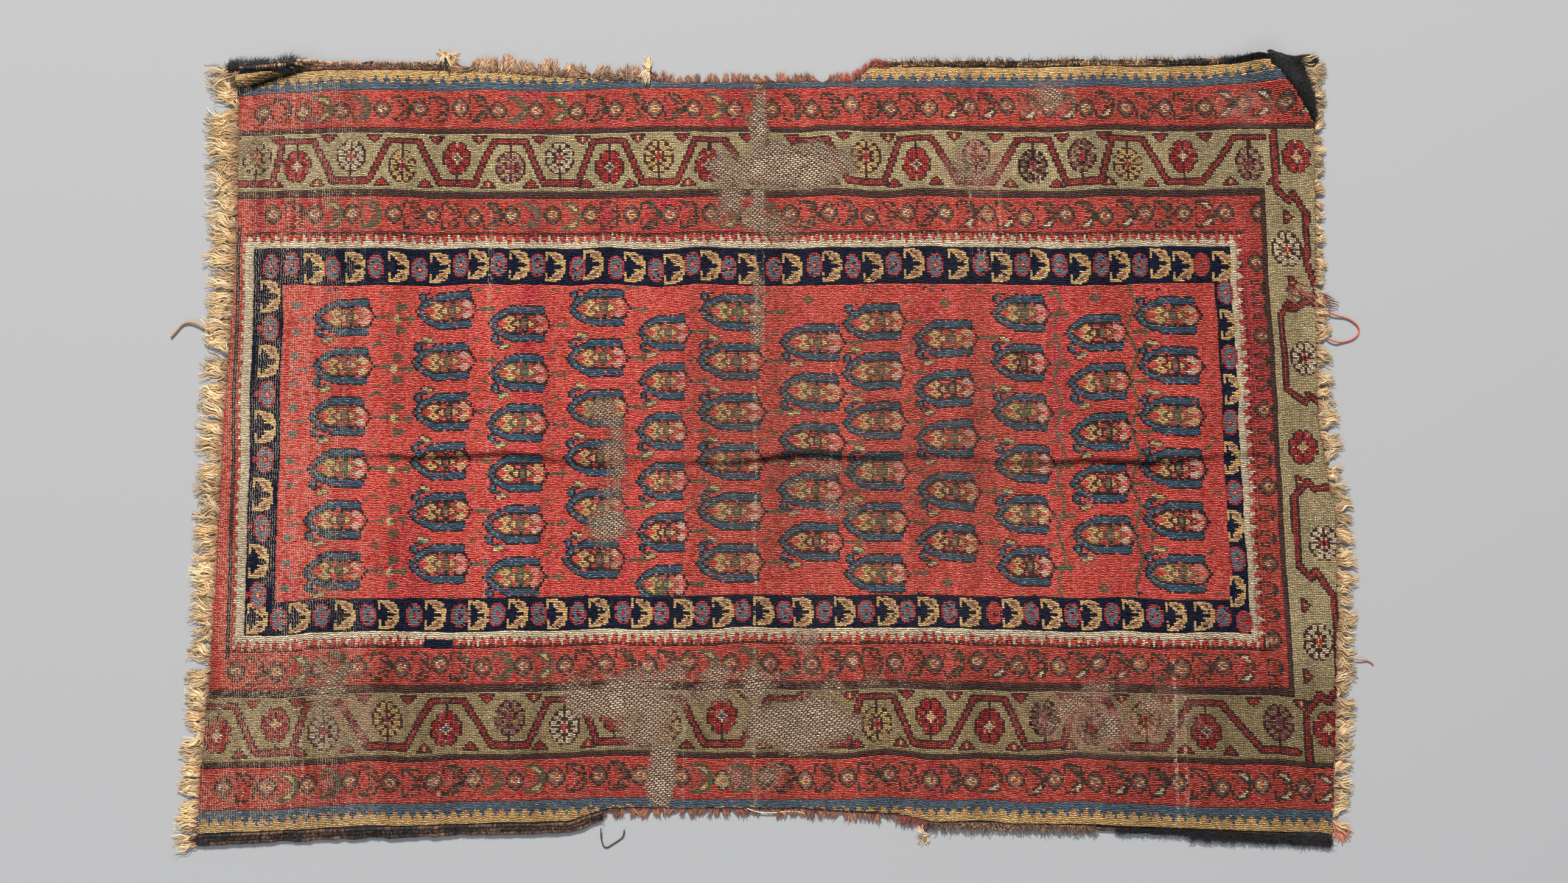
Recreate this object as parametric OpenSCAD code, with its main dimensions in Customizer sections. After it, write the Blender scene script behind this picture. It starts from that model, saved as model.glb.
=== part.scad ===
// Hand-knotted tribal rug with a boteh field, lying flat. The warps run along X.
// Its two long edges are selvedges, and its two short edges are fringes of bare warp ends.

/* [Web] */
// Thickness of the woven foundation of warps and wefts
foundation_t = 2.2; // [1.5:0.1:3]
// Height of the worn pile above the foundation
pile_h = 2.6; // [1:0.1:5]
// Length of the red field along the warps
field_length = 1268; // [1240:1:1290]
// Width of the red field at its ends
field_width = 430; // [410:1:440]
// How far the knot columns lean sideways across half of the field's width
lean = 4; // [0:0.5:8]

/* [Borders, from the field outwards] */
// Width of the navy border along the far side
navy_far_w = 51; // [40:1:60]
// Width of the navy border along the near side
navy_near_w = 44; // [36:1:60]
// Width of the navy border at the left end
navy_left_w = 42; // [30:1:50]
// Width of the navy border at the right end
navy_right_w = 26; // [20:1:40]
// Width of the solid ivory line
ivory_w = 10; // [6:1:14]
// Width of the toothed red and brown guard
teeth_w = 12; // [8:1:16]
// Width of the inner red border along the sides
inner_red_w = 49; // [40:1:54]
// Width of the inner red border at the right end
inner_red_right_w = 24; // [18:1:36]
// Width of the dark line inside the olive border
inner_dark_w = 10; // [5:1:12]
// Width of the same line at the right end
inner_dark_right_w = 7; // [4:1:12]
// Width of the olive main border along the sides
olive_w = 83; // [76:1:88]
// Width of the dark line outside the olive border
outer_dark_w = 7; // [4:1:10]
// Width of the outer red border
outer_red_w = 55; // [48:1:60]
// Width of the blue guard
blue_w = 13; // [8:1:16]
// Width of the gold guard
gold_w = 16; // [10:1:20]

/* [Edges] */
// Width of the far selvedge
selvedge_far_w = 8; // [5:1:12]
// Width of the near selvedge
selvedge_near_w = 17; // [8:1:20]
// Thickness of a selvedge
selvedge_t = 5; // [4:0.5:7]
// Thickness of the fringe where it lies on the ground
fringe_t = 2; // [1:0.5:3]
// Width of one lock of fringe
lock_w = 16; // [12:1:24]
// How much shorter the shortest lock of fringe is than the longest
lock_vary = 12; // [4:1:16]
// Length of the frayed wefts where a selvedge is lost
fray_l = 17; // [8:1:24]
// How far the far right corner curls up from the ground
corner_lift = 26; // [10:1:32]

/* [Loose yarns] */
// Diameter of the red yarn that loops out of the right fringe
loop_yarn_d = 2.4; // [1.6:0.1:2.6]
// Diameter of the tan yarn that strays from the left fringe
curl_yarn_d = 3; // [2:0.1:3.2]
// Diameter of the short red thread at the right fringe
short_thread_d = 1.8; // [1.2:0.1:2]
// Diameter of the ivory warp that has come away from the near edge
stray_warp_d = 1.6; // [1:0.1:1.8]
// Diameter of the black string tied through the near edge
string_d = 1.6; // [1:0.1:1.8]

/* [Hidden] */

// Half of the length over which the edges are drawn, and the step between drawn points
reach = 800;
step = 25;
// Where the middle of the field lies, as the ends are cut off unequally
field_mid_x = -13;
// How far the far line of the field is from the rug's middle
field_far_y = 206;
// Where the near lines are counted from, at their ends
near_start_y = -217;
// How far the near lines bow in at their middle, at the field and at the outer edge
bow_inner = 10;
bow_outer = 19;
// How much the outer lines of the far side climb from the middle to either end
climb = 5;

// Offsets of the border lines from the far line of the field
off_navy = navy_far_w;
off_ivory = off_navy + ivory_w;
off_teeth = off_ivory + teeth_w;
off_inner_red = off_teeth + inner_red_w;
off_inner_dark = off_inner_red + inner_dark_w;
off_olive = off_inner_dark + olive_w;
off_outer_dark = off_olive + outer_dark_w;
off_outer_red = off_outer_dark + outer_red_w;
off_blue = off_outer_red + blue_w;
off_gold = off_blue + gold_w;

// Where the border lines cross the rug's middle line, at each end
x_field_left = field_mid_x - field_length / 2;
x_field_right = field_mid_x + field_length / 2;
x_navy_left = x_field_left - navy_left_w;
x_navy_right = x_field_right + navy_right_w;
x_ivory_left = x_navy_left - ivory_w;
x_ivory_right = x_navy_right + ivory_w;
x_teeth_left = x_ivory_left - teeth_w / 2;
x_teeth_right = x_ivory_right + teeth_w;
x_red_right = x_teeth_right + inner_red_right_w;
x_dark_right = x_red_right + inner_dark_right_w;

// The share of the gold guard that is left along each side: 0 where it's all gone
far_kept = [[-800, 1], [-400, 1], [-175, 0.1], [-125, -0.3], [125, -0.3], [150, 1], [800, 1]];
near_kept = [[-800, 1], [-250, 1], [-200, 0], [50, 0], [175, 0.4], [225, 1], [800, 1]];
// The two ends of the knotted web, as [y, x]
left_end = [[-600, -734], [-534, -734], [-234, -725], [16, -724], [266, -717], [516, -727], [600, -727]];
right_end = [[-600, 742], [-534, 742], [-240, 763], [-111, 766], [29, 748], [429, 763], [600, 764]];
// How far the longest locks of fringe reach, as [y, x]
left_tips = [[-540, -770], [-350, -764], [20, -766], [150, -764], [250, -768], [350, -774], [530, -778]];
right_tips = [[-540, 770], [-390, 786], [-230, 796], [-110, 796], [10, 783], [130, 777], [265, 774], [460, 782]];
// The line that the far right corner curls up along, from the far edge to the right end
curl_a = [699, 523];
curl_b = [762, 445];
// The top of the curled corner
curl_top = [770, 527];
// Where the parts of the far and near edges meet, along X
roll_end = -655;
fray_far = [-430, 150];
fray_near = [-205, 215];
near_right_start = 436;
// Bare patches where the pile is worn off, as [x, y, half length, half width]
bare_far = [[28, 374, 70, 30], [-44, 352, 24, 60]];
bare_near = [[-170, -372, 72, 24], [58, -376, 76, 34], [-126, -448, 20, 34]];
// A hair's breadth that keeps touching pieces apart
gap = 0.3;

// Routes of the loose yarns, from where each leaves the rug
loop_route = [
    [757, 174, 3.4], [764, 171, 3.4], [771, 168, 3.4], [778, 165, 3.2], [785, 163, 2.2], [792, 161.5, 1.3],
    [799, 159, 1.3], [805, 155, 1.3], [810, 150, 1.3], [812, 144, 1.3], [810, 138, 1.3], [805, 133, 1.3],
    [799, 130, 1.3], [792, 128, 1.3], [785, 127, 1.9], [779, 127.5, 3.2], [772, 130, 3.4], [766, 134, 3.4],
    [760, 138, 3.4]];
curl_route = [
    [-738, 140, 3.7], [-744, 141, 3.7], [-750, 143, 3.7], [-756, 146, 3.7], [-762, 149.5, 3.7],
    [-768, 152.5, 3.7], [-774, 154.5, 3.2], [-780, 154.5, 2.3], [-786, 152.5, 1.6], [-791, 148.5, 1.6],
    [-795, 143.5, 1.6], [-799, 138.5, 1.6], [-803, 134, 1.6]];
short_route = [
    [758, -289, 3.1], [763, -291, 3.1], [768, -293, 3.1], [773, -295, 3.1], [778, -296.5, 3.1],
    [783, -297.5, 3.1], [788, -298, 3.1], [793, -298.5, 2.8], [798, -299, 1.8], [802, -300, 1.1],
    [806, -302, 1], [809, -305, 1]];
stray_route = [
    [-18, -489, 5.7], [-13, -491, 5.4], [-8, -493, 4.6], [-3, -494, 3.6], [2, -494.5, 3.4], [7, -495, 3.4],
    [12, -495, 3.4], [17, -495, 3.4], [22, -494.5, 3.4], [27, -494, 3.4], [32, -493.5, 3.4], [37, -493, 3.4],
    [42, -493, 3.4], [47, -493.5, 3.4], [52, -494.5, 3.4], [57, -496, 3.4]];
string_route = [
    [-208, -514, 6], [-208, -518, 6], [-208, -522, 5.6], [-208, -526, 4], [-207.5, -530, 2], [-206.5, -534, 1],
    [-205, -537.5, 1], [-202, -539.5, 1], [-198, -538.5, 1], [-194, -536, 1], [-190, -533.5, 1],
    [-186, -531, 1], [-182, -528, 1.2], [-179.5, -524.5, 2.2], [-178.5, -520.5, 3.1], [-178, -516.5, 3.4]];

function reversed(list) = [for (i = [len(list) - 1:-1:0]) list[i]];
function stations(from = -reach, to = reach) =
    concat([from], [for (x = [-reach:step:reach]) if (x > from && x < to) x], [to]);

// A border line on the far side, a given offset out from the field
function far_y(x, off) = field_far_y + off + climb * (x / 750) * (off / off_gold);
// The matching line on the near side, which bows in at its middle
function near_base(off) = off == 0 ? field_far_y - field_width : near_start_y - off;
function near_y(x, off) = near_base(off)
    + (bow_inner + (bow_outer - bow_inner) * off / off_gold) * max(0, 1 - pow(x / 750, 2));
// The edges of the knotted web, where the gold guard is whole, part gone or lost
function far_edge(x) = far_y(x, off_blue + gold_w * lookup(x, far_kept));
function near_edge(x) = near_y(x, off_blue + gold_w * lookup(x, near_kept));

// Everything between a far line and a near line
module rows(far_off, near_off)
    polygon(concat([for (x = stations()) [x, far_y(x, far_off)]],
                   reversed([for (x = stations()) [x, near_y(x, near_off)]])));
// Everything between two columns of knots, which lean a little
module columns(left, right)
    polygon([for (c = [[left, 600], [right, 600], [right, -600], [left, -600]])
        [c[0] - lean * c[1] / (field_width / 2), c[1]]]);
// A rectangle of the pattern, out to one border line
module frame_to(off, left, right) intersection() { rows(off, off); columns(left, right); }
// The corner that curls up is cut off along its fold
module curl_side()
    polygon([curl_a + 3 * (curl_a - curl_b), curl_b - 3 * (curl_a - curl_b), [1200, 0], [1200, 900]]);
// The whole knotted web that lies flat
module web() difference() {
    intersection() {
        polygon(concat([for (x = stations()) [x, far_edge(x)]],
                       reversed([for (x = stations()) [x, near_edge(x)]])));
        polygon(concat([for (e = left_end) [e[1], e[0]]], reversed([for (e = right_end) [e[1], e[0]]])));
    }
    curl_side();
}
// An ellipse as a plain outline
module patch(p)
    polygon([for (a = [0:15:345]) [p[0] + p[2] * cos(a), p[1] + p[3] * sin(a)]]);
// A layer of pile over part of the web, less its bare patches
module pile(bare = []) translate([0, 0, foundation_t])
    linear_extrude(pile_h) difference() {
        intersection() { web(); children(); }
        for (p = bare) patch(p);
    }
// A band of pile along one side only
module far_band(from, to) polygon(concat([for (x = stations()) [x, far_y(x, from)]],
    reversed([for (x = stations()) [x, far_y(x, to)]])));
module near_band(from, to) polygon(concat([for (x = stations()) [x, near_y(x, from)]],
    reversed([for (x = stations()) [x, near_y(x, to)]])));
module half(left, right) polygon([[left, 900], [right, 900], [right, -900], [left, -900]]);

// A strip of edge outside the web, from gap to width
module far_strip(from, to, width, rise = 0) polygon(concat(
    [for (x = stations(from, to)) [x, far_edge(x) + gap]],
    reversed([for (x = stations(from, to)) [x, far_edge(x) + width + rise * (x - from) / (to - from)]])));
module near_strip(from, to, width) polygon(concat(
    [for (x = stations(from, to)) [x, near_edge(x) - gap]],
    reversed([for (x = stations(from, to)) [x, near_edge(x) - width]])));
// A row of frayed wefts, as teeth of unequal length
function fray_tip(i) = fray_l * (0.8 + 0.2 * cos(i * 125));

// The locks of a fringe: a flat comb from the end of the web to the tips
function lock_count(low, high) = floor((high - low) / lock_w);
module fringe_comb(low, high, ends, tips, side) {
    n = lock_count(low, high);
    w = (high - low) / n;
    polygon(concat(
        [for (i = [0:n]) [lookup(low + i * w, ends) + side * gap, low + i * w]],
        reversed([for (i = [0:n - 1], k = [0.1, 0.45, 0.6, 1])
            let (y = low + (i + k) * w, tip = lookup(y, tips) - side * lock_vary * (0.5 - 0.5 * cos(i * 120)))
            [k == 0.1 || k == 1 ? (lookup(y, ends) + tip) / 2 : tip, y]])));
}

// A tube swept along a route, with rings that stand upright across it
function unit(v) = v / norm(v);
function heading(route, i) = unit(route[min(i + 1, len(route) - 1)] - route[max(i - 1, 0)]);
function across(route, i) = let (h = heading(route, i)) unit([-h[1], h[0], 0]);
sides = 8;
module tube(route, d) {
    n = len(route);
    polyhedron(
        points = [for (i = [0:n - 1], k = [0:sides - 1])
            let (a = across(route, i), b = cross(heading(route, i), a), t = 360 * k / sides)
            route[i] + d / 2 * (cos(t) * a + sin(t) * b)],
        faces = concat(
            [[for (k = [sides - 1:-1:0]) k]],
            [for (i = [0:n - 2], k = [0:sides - 1])
                [i * sides + k, i * sides + (k + 1) % sides,
                 (i + 1) * sides + (k + 1) % sides, (i + 1) * sides + k]],
            [[for (k = [0:sides - 1]) (n - 1) * sides + k]]));
}

// A straight strand with round ends, lying at a given height
module strand(from, to, d) {
    span = norm(to - from);
    translate(from) rotate([0, acos((to[2] - from[2]) / span), atan2(to[1] - from[1], to[0] - from[0])]) {
        cylinder(d = d, h = span, $fn = 16);
        sphere(d = d, $fn = 16);
        translate([0, 0, span]) sphere(d = d, $fn = 16);
    }
}

module foundation() color("saddlebrown") linear_extrude(foundation_t) web();
module pile_field() color("indianred") pile() frame_to(0, x_field_left, x_field_right);
module pile_navy_border() color("midnightblue") pile() difference() {
    frame_to(off_navy, x_navy_left, x_navy_right);
    frame_to(0, x_field_left, x_field_right);
}
module pile_ivory_line() color("wheat") pile() difference() {
    frame_to(off_ivory, x_ivory_left, x_ivory_right);
    frame_to(off_navy, x_navy_left, x_navy_right);
}
module pile_toothed_guard() color("brown") pile() difference() {
    frame_to(off_teeth, x_teeth_left, x_teeth_right);
    frame_to(off_ivory, x_ivory_left, x_ivory_right);
}
module pile_inner_red_border() color("firebrick") pile() difference() {
    frame_to(off_inner_red, -reach, x_red_right);
    frame_to(off_teeth, x_teeth_left, x_teeth_right);
}
module pile_inner_dark_line() color("dimgray") pile() difference() {
    frame_to(off_inner_dark, -reach, x_dark_right);
    frame_to(off_inner_red, -reach, x_red_right);
}
module pile_olive_border() color("darkkhaki") pile(concat(bare_far, bare_near)) difference() {
    frame_to(off_olive, -reach, reach);
    frame_to(off_inner_dark, -reach, x_dark_right);
}
module pile_outer_dark_line_far() color("dimgray") pile() far_band(off_olive, off_outer_dark);
module pile_outer_dark_line_near() color("dimgray") pile() near_band(off_olive, off_outer_dark);
module pile_outer_red_far() color("firebrick") pile() far_band(off_outer_dark, off_outer_red);
module pile_outer_red_near() color("firebrick") pile(bare_near) near_band(off_outer_dark, off_outer_red);
module pile_blue_guard_far() color("steelblue") pile() far_band(off_outer_red, off_blue);
module pile_blue_guard_near() color("steelblue") pile() near_band(off_outer_red, off_blue);
module pile_gold_guard_far_left() color("goldenrod") pile()
    intersection() { far_band(off_blue, off_gold); half(-reach, 0); }
module pile_gold_guard_far_right() color("goldenrod") pile()
    intersection() { far_band(off_blue, off_gold); half(0, reach); }
module pile_gold_guard_near_left() color("goldenrod") pile()
    intersection() { near_band(off_blue, off_gold); half(-reach, 0); }
module pile_gold_guard_near_right() color("goldenrod") pile()
    intersection() { near_band(off_blue, off_gold); half(0, reach); }

module selvedge_far_left() color("black")
    linear_extrude(selvedge_t + 3) far_strip(lookup(516, left_end), roll_end, selvedge_far_w + 2);
module selvedge_far_frayed() color("peru")
    linear_extrude(selvedge_t + 1) far_strip(roll_end + gap, fray_far[0] - gap, selvedge_far_w, 8);
module selvedge_far_right() color("darkgoldenrod")
    linear_extrude(selvedge_t) far_strip(fray_far[1] + gap, curl_a[0] - 8, selvedge_far_w, 10);
module selvedge_near_left() color("black")
    linear_extrude(selvedge_t) near_strip(lookup(-534, left_end), fray_near[0] - gap, selvedge_near_w);
module selvedge_near_middle() color("darkgoldenrod")
    linear_extrude(selvedge_t) near_strip(fray_near[1] + gap, near_right_start - gap, selvedge_near_w / 2);
module selvedge_near_right() color("black")
    linear_extrude(selvedge_t) near_strip(near_right_start, lookup(-534, right_end), selvedge_near_w + 2);

module weft_fray_far() color("sienna") linear_extrude(fringe_t + 0.5) polygon(concat(
    [for (x = stations(fray_far[0], fray_far[1])) [x, far_edge(x) + gap]],
    reversed([for (i = [0:58]) let (x = fray_far[0] + 10 * i) [x, far_edge(x) + fray_tip(i)]])));
module weft_fray_near() color("sienna") linear_extrude(fringe_t + 0.5) polygon(concat(
    [for (x = stations(fray_near[0], fray_near[1])) [x, near_edge(x) - gap]],
    reversed([for (i = [0:42]) let (x = fray_near[0] + 10 * i) [x, near_edge(x) - fray_tip(i)]])));

module fringe_left() color("burlywood") linear_extrude(fringe_t)
    fringe_comb(-534, 508, left_end, left_tips, -1);
module fringe_right() color("burlywood") linear_extrude(fringe_t)
    fringe_comb(-505, 436, right_end, right_tips, 1);

// The curled corner is one slanting piece of web, its pile and its edge
module curled_corner() color("firebrick") hull() {
    for (p = [curl_a, curl_b]) translate([p[0] + 0.8, p[1] + 0.8, 0])
        cylinder(d = 1, h = foundation_t + pile_h, $fn = 12);
    translate([curl_top[0] - 4, curl_top[1] - 4, corner_lift])
        cylinder(d = 8, h = foundation_t + pile_h, $fn = 16);
}
module curled_selvedge() color("black") {
    d = selvedge_far_w + 3;
    points = [[curl_a[0] - 1, curl_a[1] + 9, 5.5], [738, 536.5, 18], [770, 536.5, corner_lift + 4]];
    for (i = [0:1]) hull() for (p = [points[i], points[i + 1]]) translate(p) sphere(d = d, $fn = 16);
}
module curled_fringe() color("burlywood") hull() {
    translate([curl_b[0] + 3, curl_b[1] + 2, 0]) cylinder(d = 4, h = fringe_t, $fn = 12);
    translate([curl_top[0] + 3, curl_top[1] - 6, corner_lift - 2]) cylinder(d = 4, h = fringe_t, $fn = 12);
    for (p = [[782, 462, 1], [792, 508, 10]]) translate(p) cylinder(d = 4, h = fringe_t, $fn = 12);
}
module corner_tuft() color("salmon") {
    strand([746, -511, 2.5], [758, -532, 2.5], 5);
    strand([751, -512, 2], [764, -526, 2], 4);
}

// Knots of plain yarn that hold the edge together, each with its cut tails
module tie_far_left() color("wheat") {
    translate([-440, 533, 3]) sphere(d = 6, $fn = 20);
    strand([-437, 535, 2], [-428, 539, 1.8], 3);
}
module tie_far_middle() color("wheat") {
    translate([-158, 508, 5.6]) sphere(d = 6, $fn = 20);
    strand([-158, 511, 6], [-158, 528, 4.2], 3.2);
}
module tie_near_middle() color("wheat") {
    translate([213, -521.5, 3]) sphere(d = 6, $fn = 20);
    strand([211, -525, 2], [208, -535, 1.8], 3);
    strand([215, -525, 2], [219, -534, 1.8], 3);
}

module loop_yarn() color("firebrick") tube(loop_route, loop_yarn_d);
module curl_yarn() color("burlywood") tube(curl_route, curl_yarn_d);
module short_thread() color("brown") tube(short_route, short_thread_d);
module stray_warp() color("wheat") tube(stray_route, stray_warp_d);
module tied_string() color("black") tube(string_route, string_d);

foundation();
pile_field();
pile_navy_border();
pile_ivory_line();
pile_toothed_guard();
pile_inner_red_border();
pile_inner_dark_line();
pile_olive_border();
pile_outer_dark_line_far();
pile_outer_dark_line_near();
pile_outer_red_far();
pile_outer_red_near();
pile_blue_guard_far();
pile_blue_guard_near();
pile_gold_guard_far_left();
pile_gold_guard_far_right();
pile_gold_guard_near_left();
pile_gold_guard_near_right();
selvedge_far_left();
selvedge_far_frayed();
selvedge_far_right();
selvedge_near_left();
selvedge_near_middle();
selvedge_near_right();
weft_fray_far();
weft_fray_near();
fringe_left();
fringe_right();
curled_corner();
curled_selvedge();
curled_fringe();
corner_tuft();
tie_far_left();
tie_far_middle();
tie_near_middle();
loop_yarn();
curl_yarn();
short_thread();
stray_warp();
tied_string();
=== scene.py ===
import math

import bpy
import numpy as np
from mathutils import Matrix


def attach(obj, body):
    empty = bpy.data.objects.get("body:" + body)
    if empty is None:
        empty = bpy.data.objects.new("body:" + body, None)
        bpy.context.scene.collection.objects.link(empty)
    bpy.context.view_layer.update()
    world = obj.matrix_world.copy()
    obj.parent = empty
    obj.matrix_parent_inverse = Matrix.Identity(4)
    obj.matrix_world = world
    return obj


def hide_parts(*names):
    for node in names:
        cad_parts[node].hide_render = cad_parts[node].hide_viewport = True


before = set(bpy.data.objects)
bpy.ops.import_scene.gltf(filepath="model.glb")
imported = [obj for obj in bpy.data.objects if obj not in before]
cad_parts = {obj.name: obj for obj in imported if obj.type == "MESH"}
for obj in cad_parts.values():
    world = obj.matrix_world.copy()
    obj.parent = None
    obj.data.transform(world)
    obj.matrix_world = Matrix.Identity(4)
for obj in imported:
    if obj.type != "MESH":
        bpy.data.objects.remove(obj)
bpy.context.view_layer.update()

MM = 0.001
rng = np.random.default_rng(1903)

# ---------------------------------------------------------------------------
# The camera: a hand-held picture from above, looking almost straight down
# ---------------------------------------------------------------------------
CAMERA_PLACE = (0.030, -0.1815, 1.650)
CAMERA_TILT = math.radians(6)
CAMERA_LENS = 28.26

camera = bpy.data.objects.new("camera", bpy.data.cameras.new("camera"))
camera.location = CAMERA_PLACE
camera.rotation_euler = (CAMERA_TILT, 0, 0)
camera.data.lens = CAMERA_LENS
camera.data.sensor_width = 36
camera.data.clip_start = 0.01
bpy.context.collection.objects.link(camera)
bpy.context.scene.camera = camera

# ---------------------------------------------------------------------------
# Helpers: colours, soft noise and meshes
# ---------------------------------------------------------------------------
def linear(colour):
    """A colour from the palette's 0 to 255 scale to the shader's linear scale."""
    c = np.asarray(colour, float) / 255
    return np.where(c <= 0.04045, c / 12.92, ((c + 0.055) / 1.055) ** 2.4)


LATTICE = 64      # points on each side of the lattice that soft noise repeats


def smooth_noise(x, y, size, seed):
    """Soft random hills between -1 and 1, about size apart."""
    lattice = np.random.default_rng(seed).uniform(-1, 1, (LATTICE, LATTICE))
    gx, gy = np.asarray(x, float) / size + 200.3, np.asarray(y, float) / size + 200.7
    ix, iy = np.floor(gx).astype(int), np.floor(gy).astype(int)
    fx, fy = gx - ix, gy - iy
    fx, fy = fx * fx * (3 - 2 * fx), fy * fy * (3 - 2 * fy)
    a, b = lattice[ix % LATTICE, iy % LATTICE], lattice[(ix + 1) % LATTICE, iy % LATTICE]
    c, d = lattice[ix % LATTICE, (iy + 1) % LATTICE], lattice[(ix + 1) % LATTICE, (iy + 1) % LATTICE]
    return (a * (1 - fx) + b * fx) * (1 - fy) + (c * (1 - fx) + d * fx) * fy


def line_noise(x, size, seed):
    return smooth_noise(x, 0 * x, size, seed)


def ramp(value, start, length):
    """0 up to start, then rising evenly to 1 over a length."""
    return np.clip((value - start) / length, 0, 1)


def unit(vectors):
    return vectors / np.linalg.norm(vectors, axis=1)[:, None]


def ring_angles(sides):
    return np.arange(sides) / sides * 2 * math.pi


def tube_points(path, across, upward, radius, sides):
    """The rings of a tube around a path."""
    angle = ring_angles(sides)
    around = np.cos(angle)[None, :, None] * across[:, None] + np.sin(angle)[None, :, None] * upward[:, None]
    return (path[:, None] + np.asarray(radius)[..., None] * around).reshape(-1, 3)


def tube_quads(rings, sides):
    """The faces between the rings of a tube, as corner numbers."""
    i = np.arange(rings - 1)[:, None] * sides
    k = np.arange(sides)[None, :]
    after = (k + 1) % sides
    return np.stack([i + k, i + after, i + sides + after, i + sides + k], 2).reshape(-1, 4)


def build_mesh(name, vertices, quads):
    """A mesh object from arrays: vertices in millimetres, faces of four corners."""
    mesh = bpy.data.meshes.new(name)
    mesh.vertices.add(len(vertices))
    mesh.vertices.foreach_set("co", (np.asarray(vertices) * MM).astype(np.float32).ravel())
    mesh.loops.add(len(quads) * 4)
    mesh.loops.foreach_set("vertex_index", np.asarray(quads, np.int32).ravel())
    mesh.polygons.add(len(quads))
    mesh.polygons.foreach_set("loop_start", np.arange(0, len(quads) * 4, 4, dtype=np.int32))
    mesh.update(calc_edges=True)
    mesh.polygons.foreach_set("use_smooth", np.full(len(quads), True))
    piece = bpy.data.objects.new(name, mesh)
    bpy.context.collection.objects.link(piece)
    return piece


def add_colours(piece, name, colours, domain):
    """Colours for each corner of each face, or for each vertex."""
    layer = piece.data.color_attributes.new(name=name, type="FLOAT_COLOR", domain=domain)
    rgba = np.ones((len(colours), 4), np.float32)
    rgba[:, :3] = colours
    layer.data.foreach_set("color", rgba.ravel())


def add_places(piece, name, places):
    layer = piece.data.attributes.new(name=name, type="FLOAT_VECTOR", domain="POINT")
    layer.data.foreach_set("vector", np.asarray(places, np.float32).ravel())


def add_share(piece, name, shares):
    layer = piece.data.attributes.new(name=name, type="FLOAT", domain="POINT")
    layer.data.foreach_set("value", np.asarray(shares, np.float32).ravel())


MATERIALS = {}     # filled below, one for each slot


def finish_piece(piece, slot, nodes):
    piece.data.materials.append(MATERIALS[slot])
    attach(piece, "root")
    if nodes:
        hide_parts(*nodes)
    return piece


# ---------------------------------------------------------------------------
# Materials
# ---------------------------------------------------------------------------
class Shader:
    """A material whose nodes are added and joined by short calls."""

    def __init__(self, name, roughness, sheen):
        self.material = bpy.data.materials.new(name)
        self.material.use_nodes = True
        self.nodes = self.material.node_tree.nodes
        self.links = self.material.node_tree.links
        self.shader = self.nodes["Principled BSDF"]
        self.shader.inputs["Roughness"].default_value = roughness
        self.shader.inputs["Specular IOR Level"].default_value = 0.22
        self.shader.inputs["Sheen Weight"].default_value = sheen
        self.shader.inputs["Sheen Roughness"].default_value = 0.5

    def join(self, source, target):
        if isinstance(source, (int, float, tuple)):
            target.default_value = source
        else:
            self.links.new(source, target)

    def attribute(self, name, output="Color"):
        node = self.nodes.new("ShaderNodeAttribute")
        node.attribute_name = name
        return node.outputs[output]

    def maths(self, operation, first, second=0.0, clamp=False):
        node = self.nodes.new("ShaderNodeMath")
        node.operation = operation
        node.use_clamp = clamp
        self.join(first, node.inputs[0])
        self.join(second, node.inputs[1])
        return node.outputs[0]

    def times(self, first, second, clamp=False):
        return self.maths("MULTIPLY", first, second, clamp)

    def plus(self, first, second):
        return self.maths("ADD", first, second)

    def minus(self, first, second):
        return self.maths("SUBTRACT", first, second)

    def noise(self, place, size, detail=2.0, roughness=0.55, output="Fac"):
        node = self.nodes.new("ShaderNodeTexNoise")
        self.links.new(place, node.inputs["Vector"])
        node.inputs["Scale"].default_value = size
        node.inputs["Detail"].default_value = detail
        node.inputs["Roughness"].default_value = roughness
        return node.outputs[output]

    def vector(self, operation, first, second):
        node = self.nodes.new("ShaderNodeVectorMath")
        node.operation = operation
        self.join(first, node.inputs[0])
        self.join(second, node.inputs["Scale" if operation == "SCALE" else 1])
        return node.outputs[0]

    def parts(self, place):
        node = self.nodes.new("ShaderNodeSeparateXYZ")
        self.links.new(place, node.inputs[0])
        return node.outputs

    def remap(self, value, low, high, to_low, to_high):
        node = self.nodes.new("ShaderNodeMapRange")
        self.links.new(value, node.inputs["Value"])
        for socket, number in zip(("From Min", "From Max", "To Min", "To Max"), (low, high, to_low, to_high)):
            node.inputs[socket].default_value = number
        return node.outputs[0]

    def mix(self, share, first, second):
        node = self.nodes.new("ShaderNodeMix")
        node.data_type = "RGBA"
        self.join(share, node.inputs["Factor"])
        self.join(first, node.inputs["A"])
        self.join(second, node.inputs["B"])
        return node.outputs["Result"]

    def tinted(self, colour, saturation, value):
        """A colour with its saturation and its value multiplied by numbers that vary over the surface."""
        node = self.nodes.new("ShaderNodeHueSaturation")
        self.links.new(colour, node.inputs["Color"])
        self.join(saturation, node.inputs["Saturation"])
        self.join(value, node.inputs["Value"])
        return node.outputs[0]

    def gloss(self, amount):
        """How much of the surface's own shine is left, such as none between the ridges."""
        self.links.new(amount, self.shader.inputs["Specular IOR Level"])

    def object_place(self):
        return self.nodes.new("ShaderNodeTexCoord").outputs["Object"]

    def bump(self, height, distance, strength):
        node = self.nodes.new("ShaderNodeBump")
        node.inputs["Distance"].default_value = distance
        node.inputs["Strength"].default_value = strength
        self.links.new(height, node.inputs["Height"])
        self.links.new(node.outputs[0], self.shader.inputs["Normal"])

    def finish(self, colour, roughness=None):
        self.links.new(colour, self.shader.inputs["Base Color"])
        if roughness is not None:
            self.links.new(roughness, self.shader.inputs["Roughness"])
        return self.material


CREAM_WARP = (0.76, 0.57, 0.40, 1)


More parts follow.
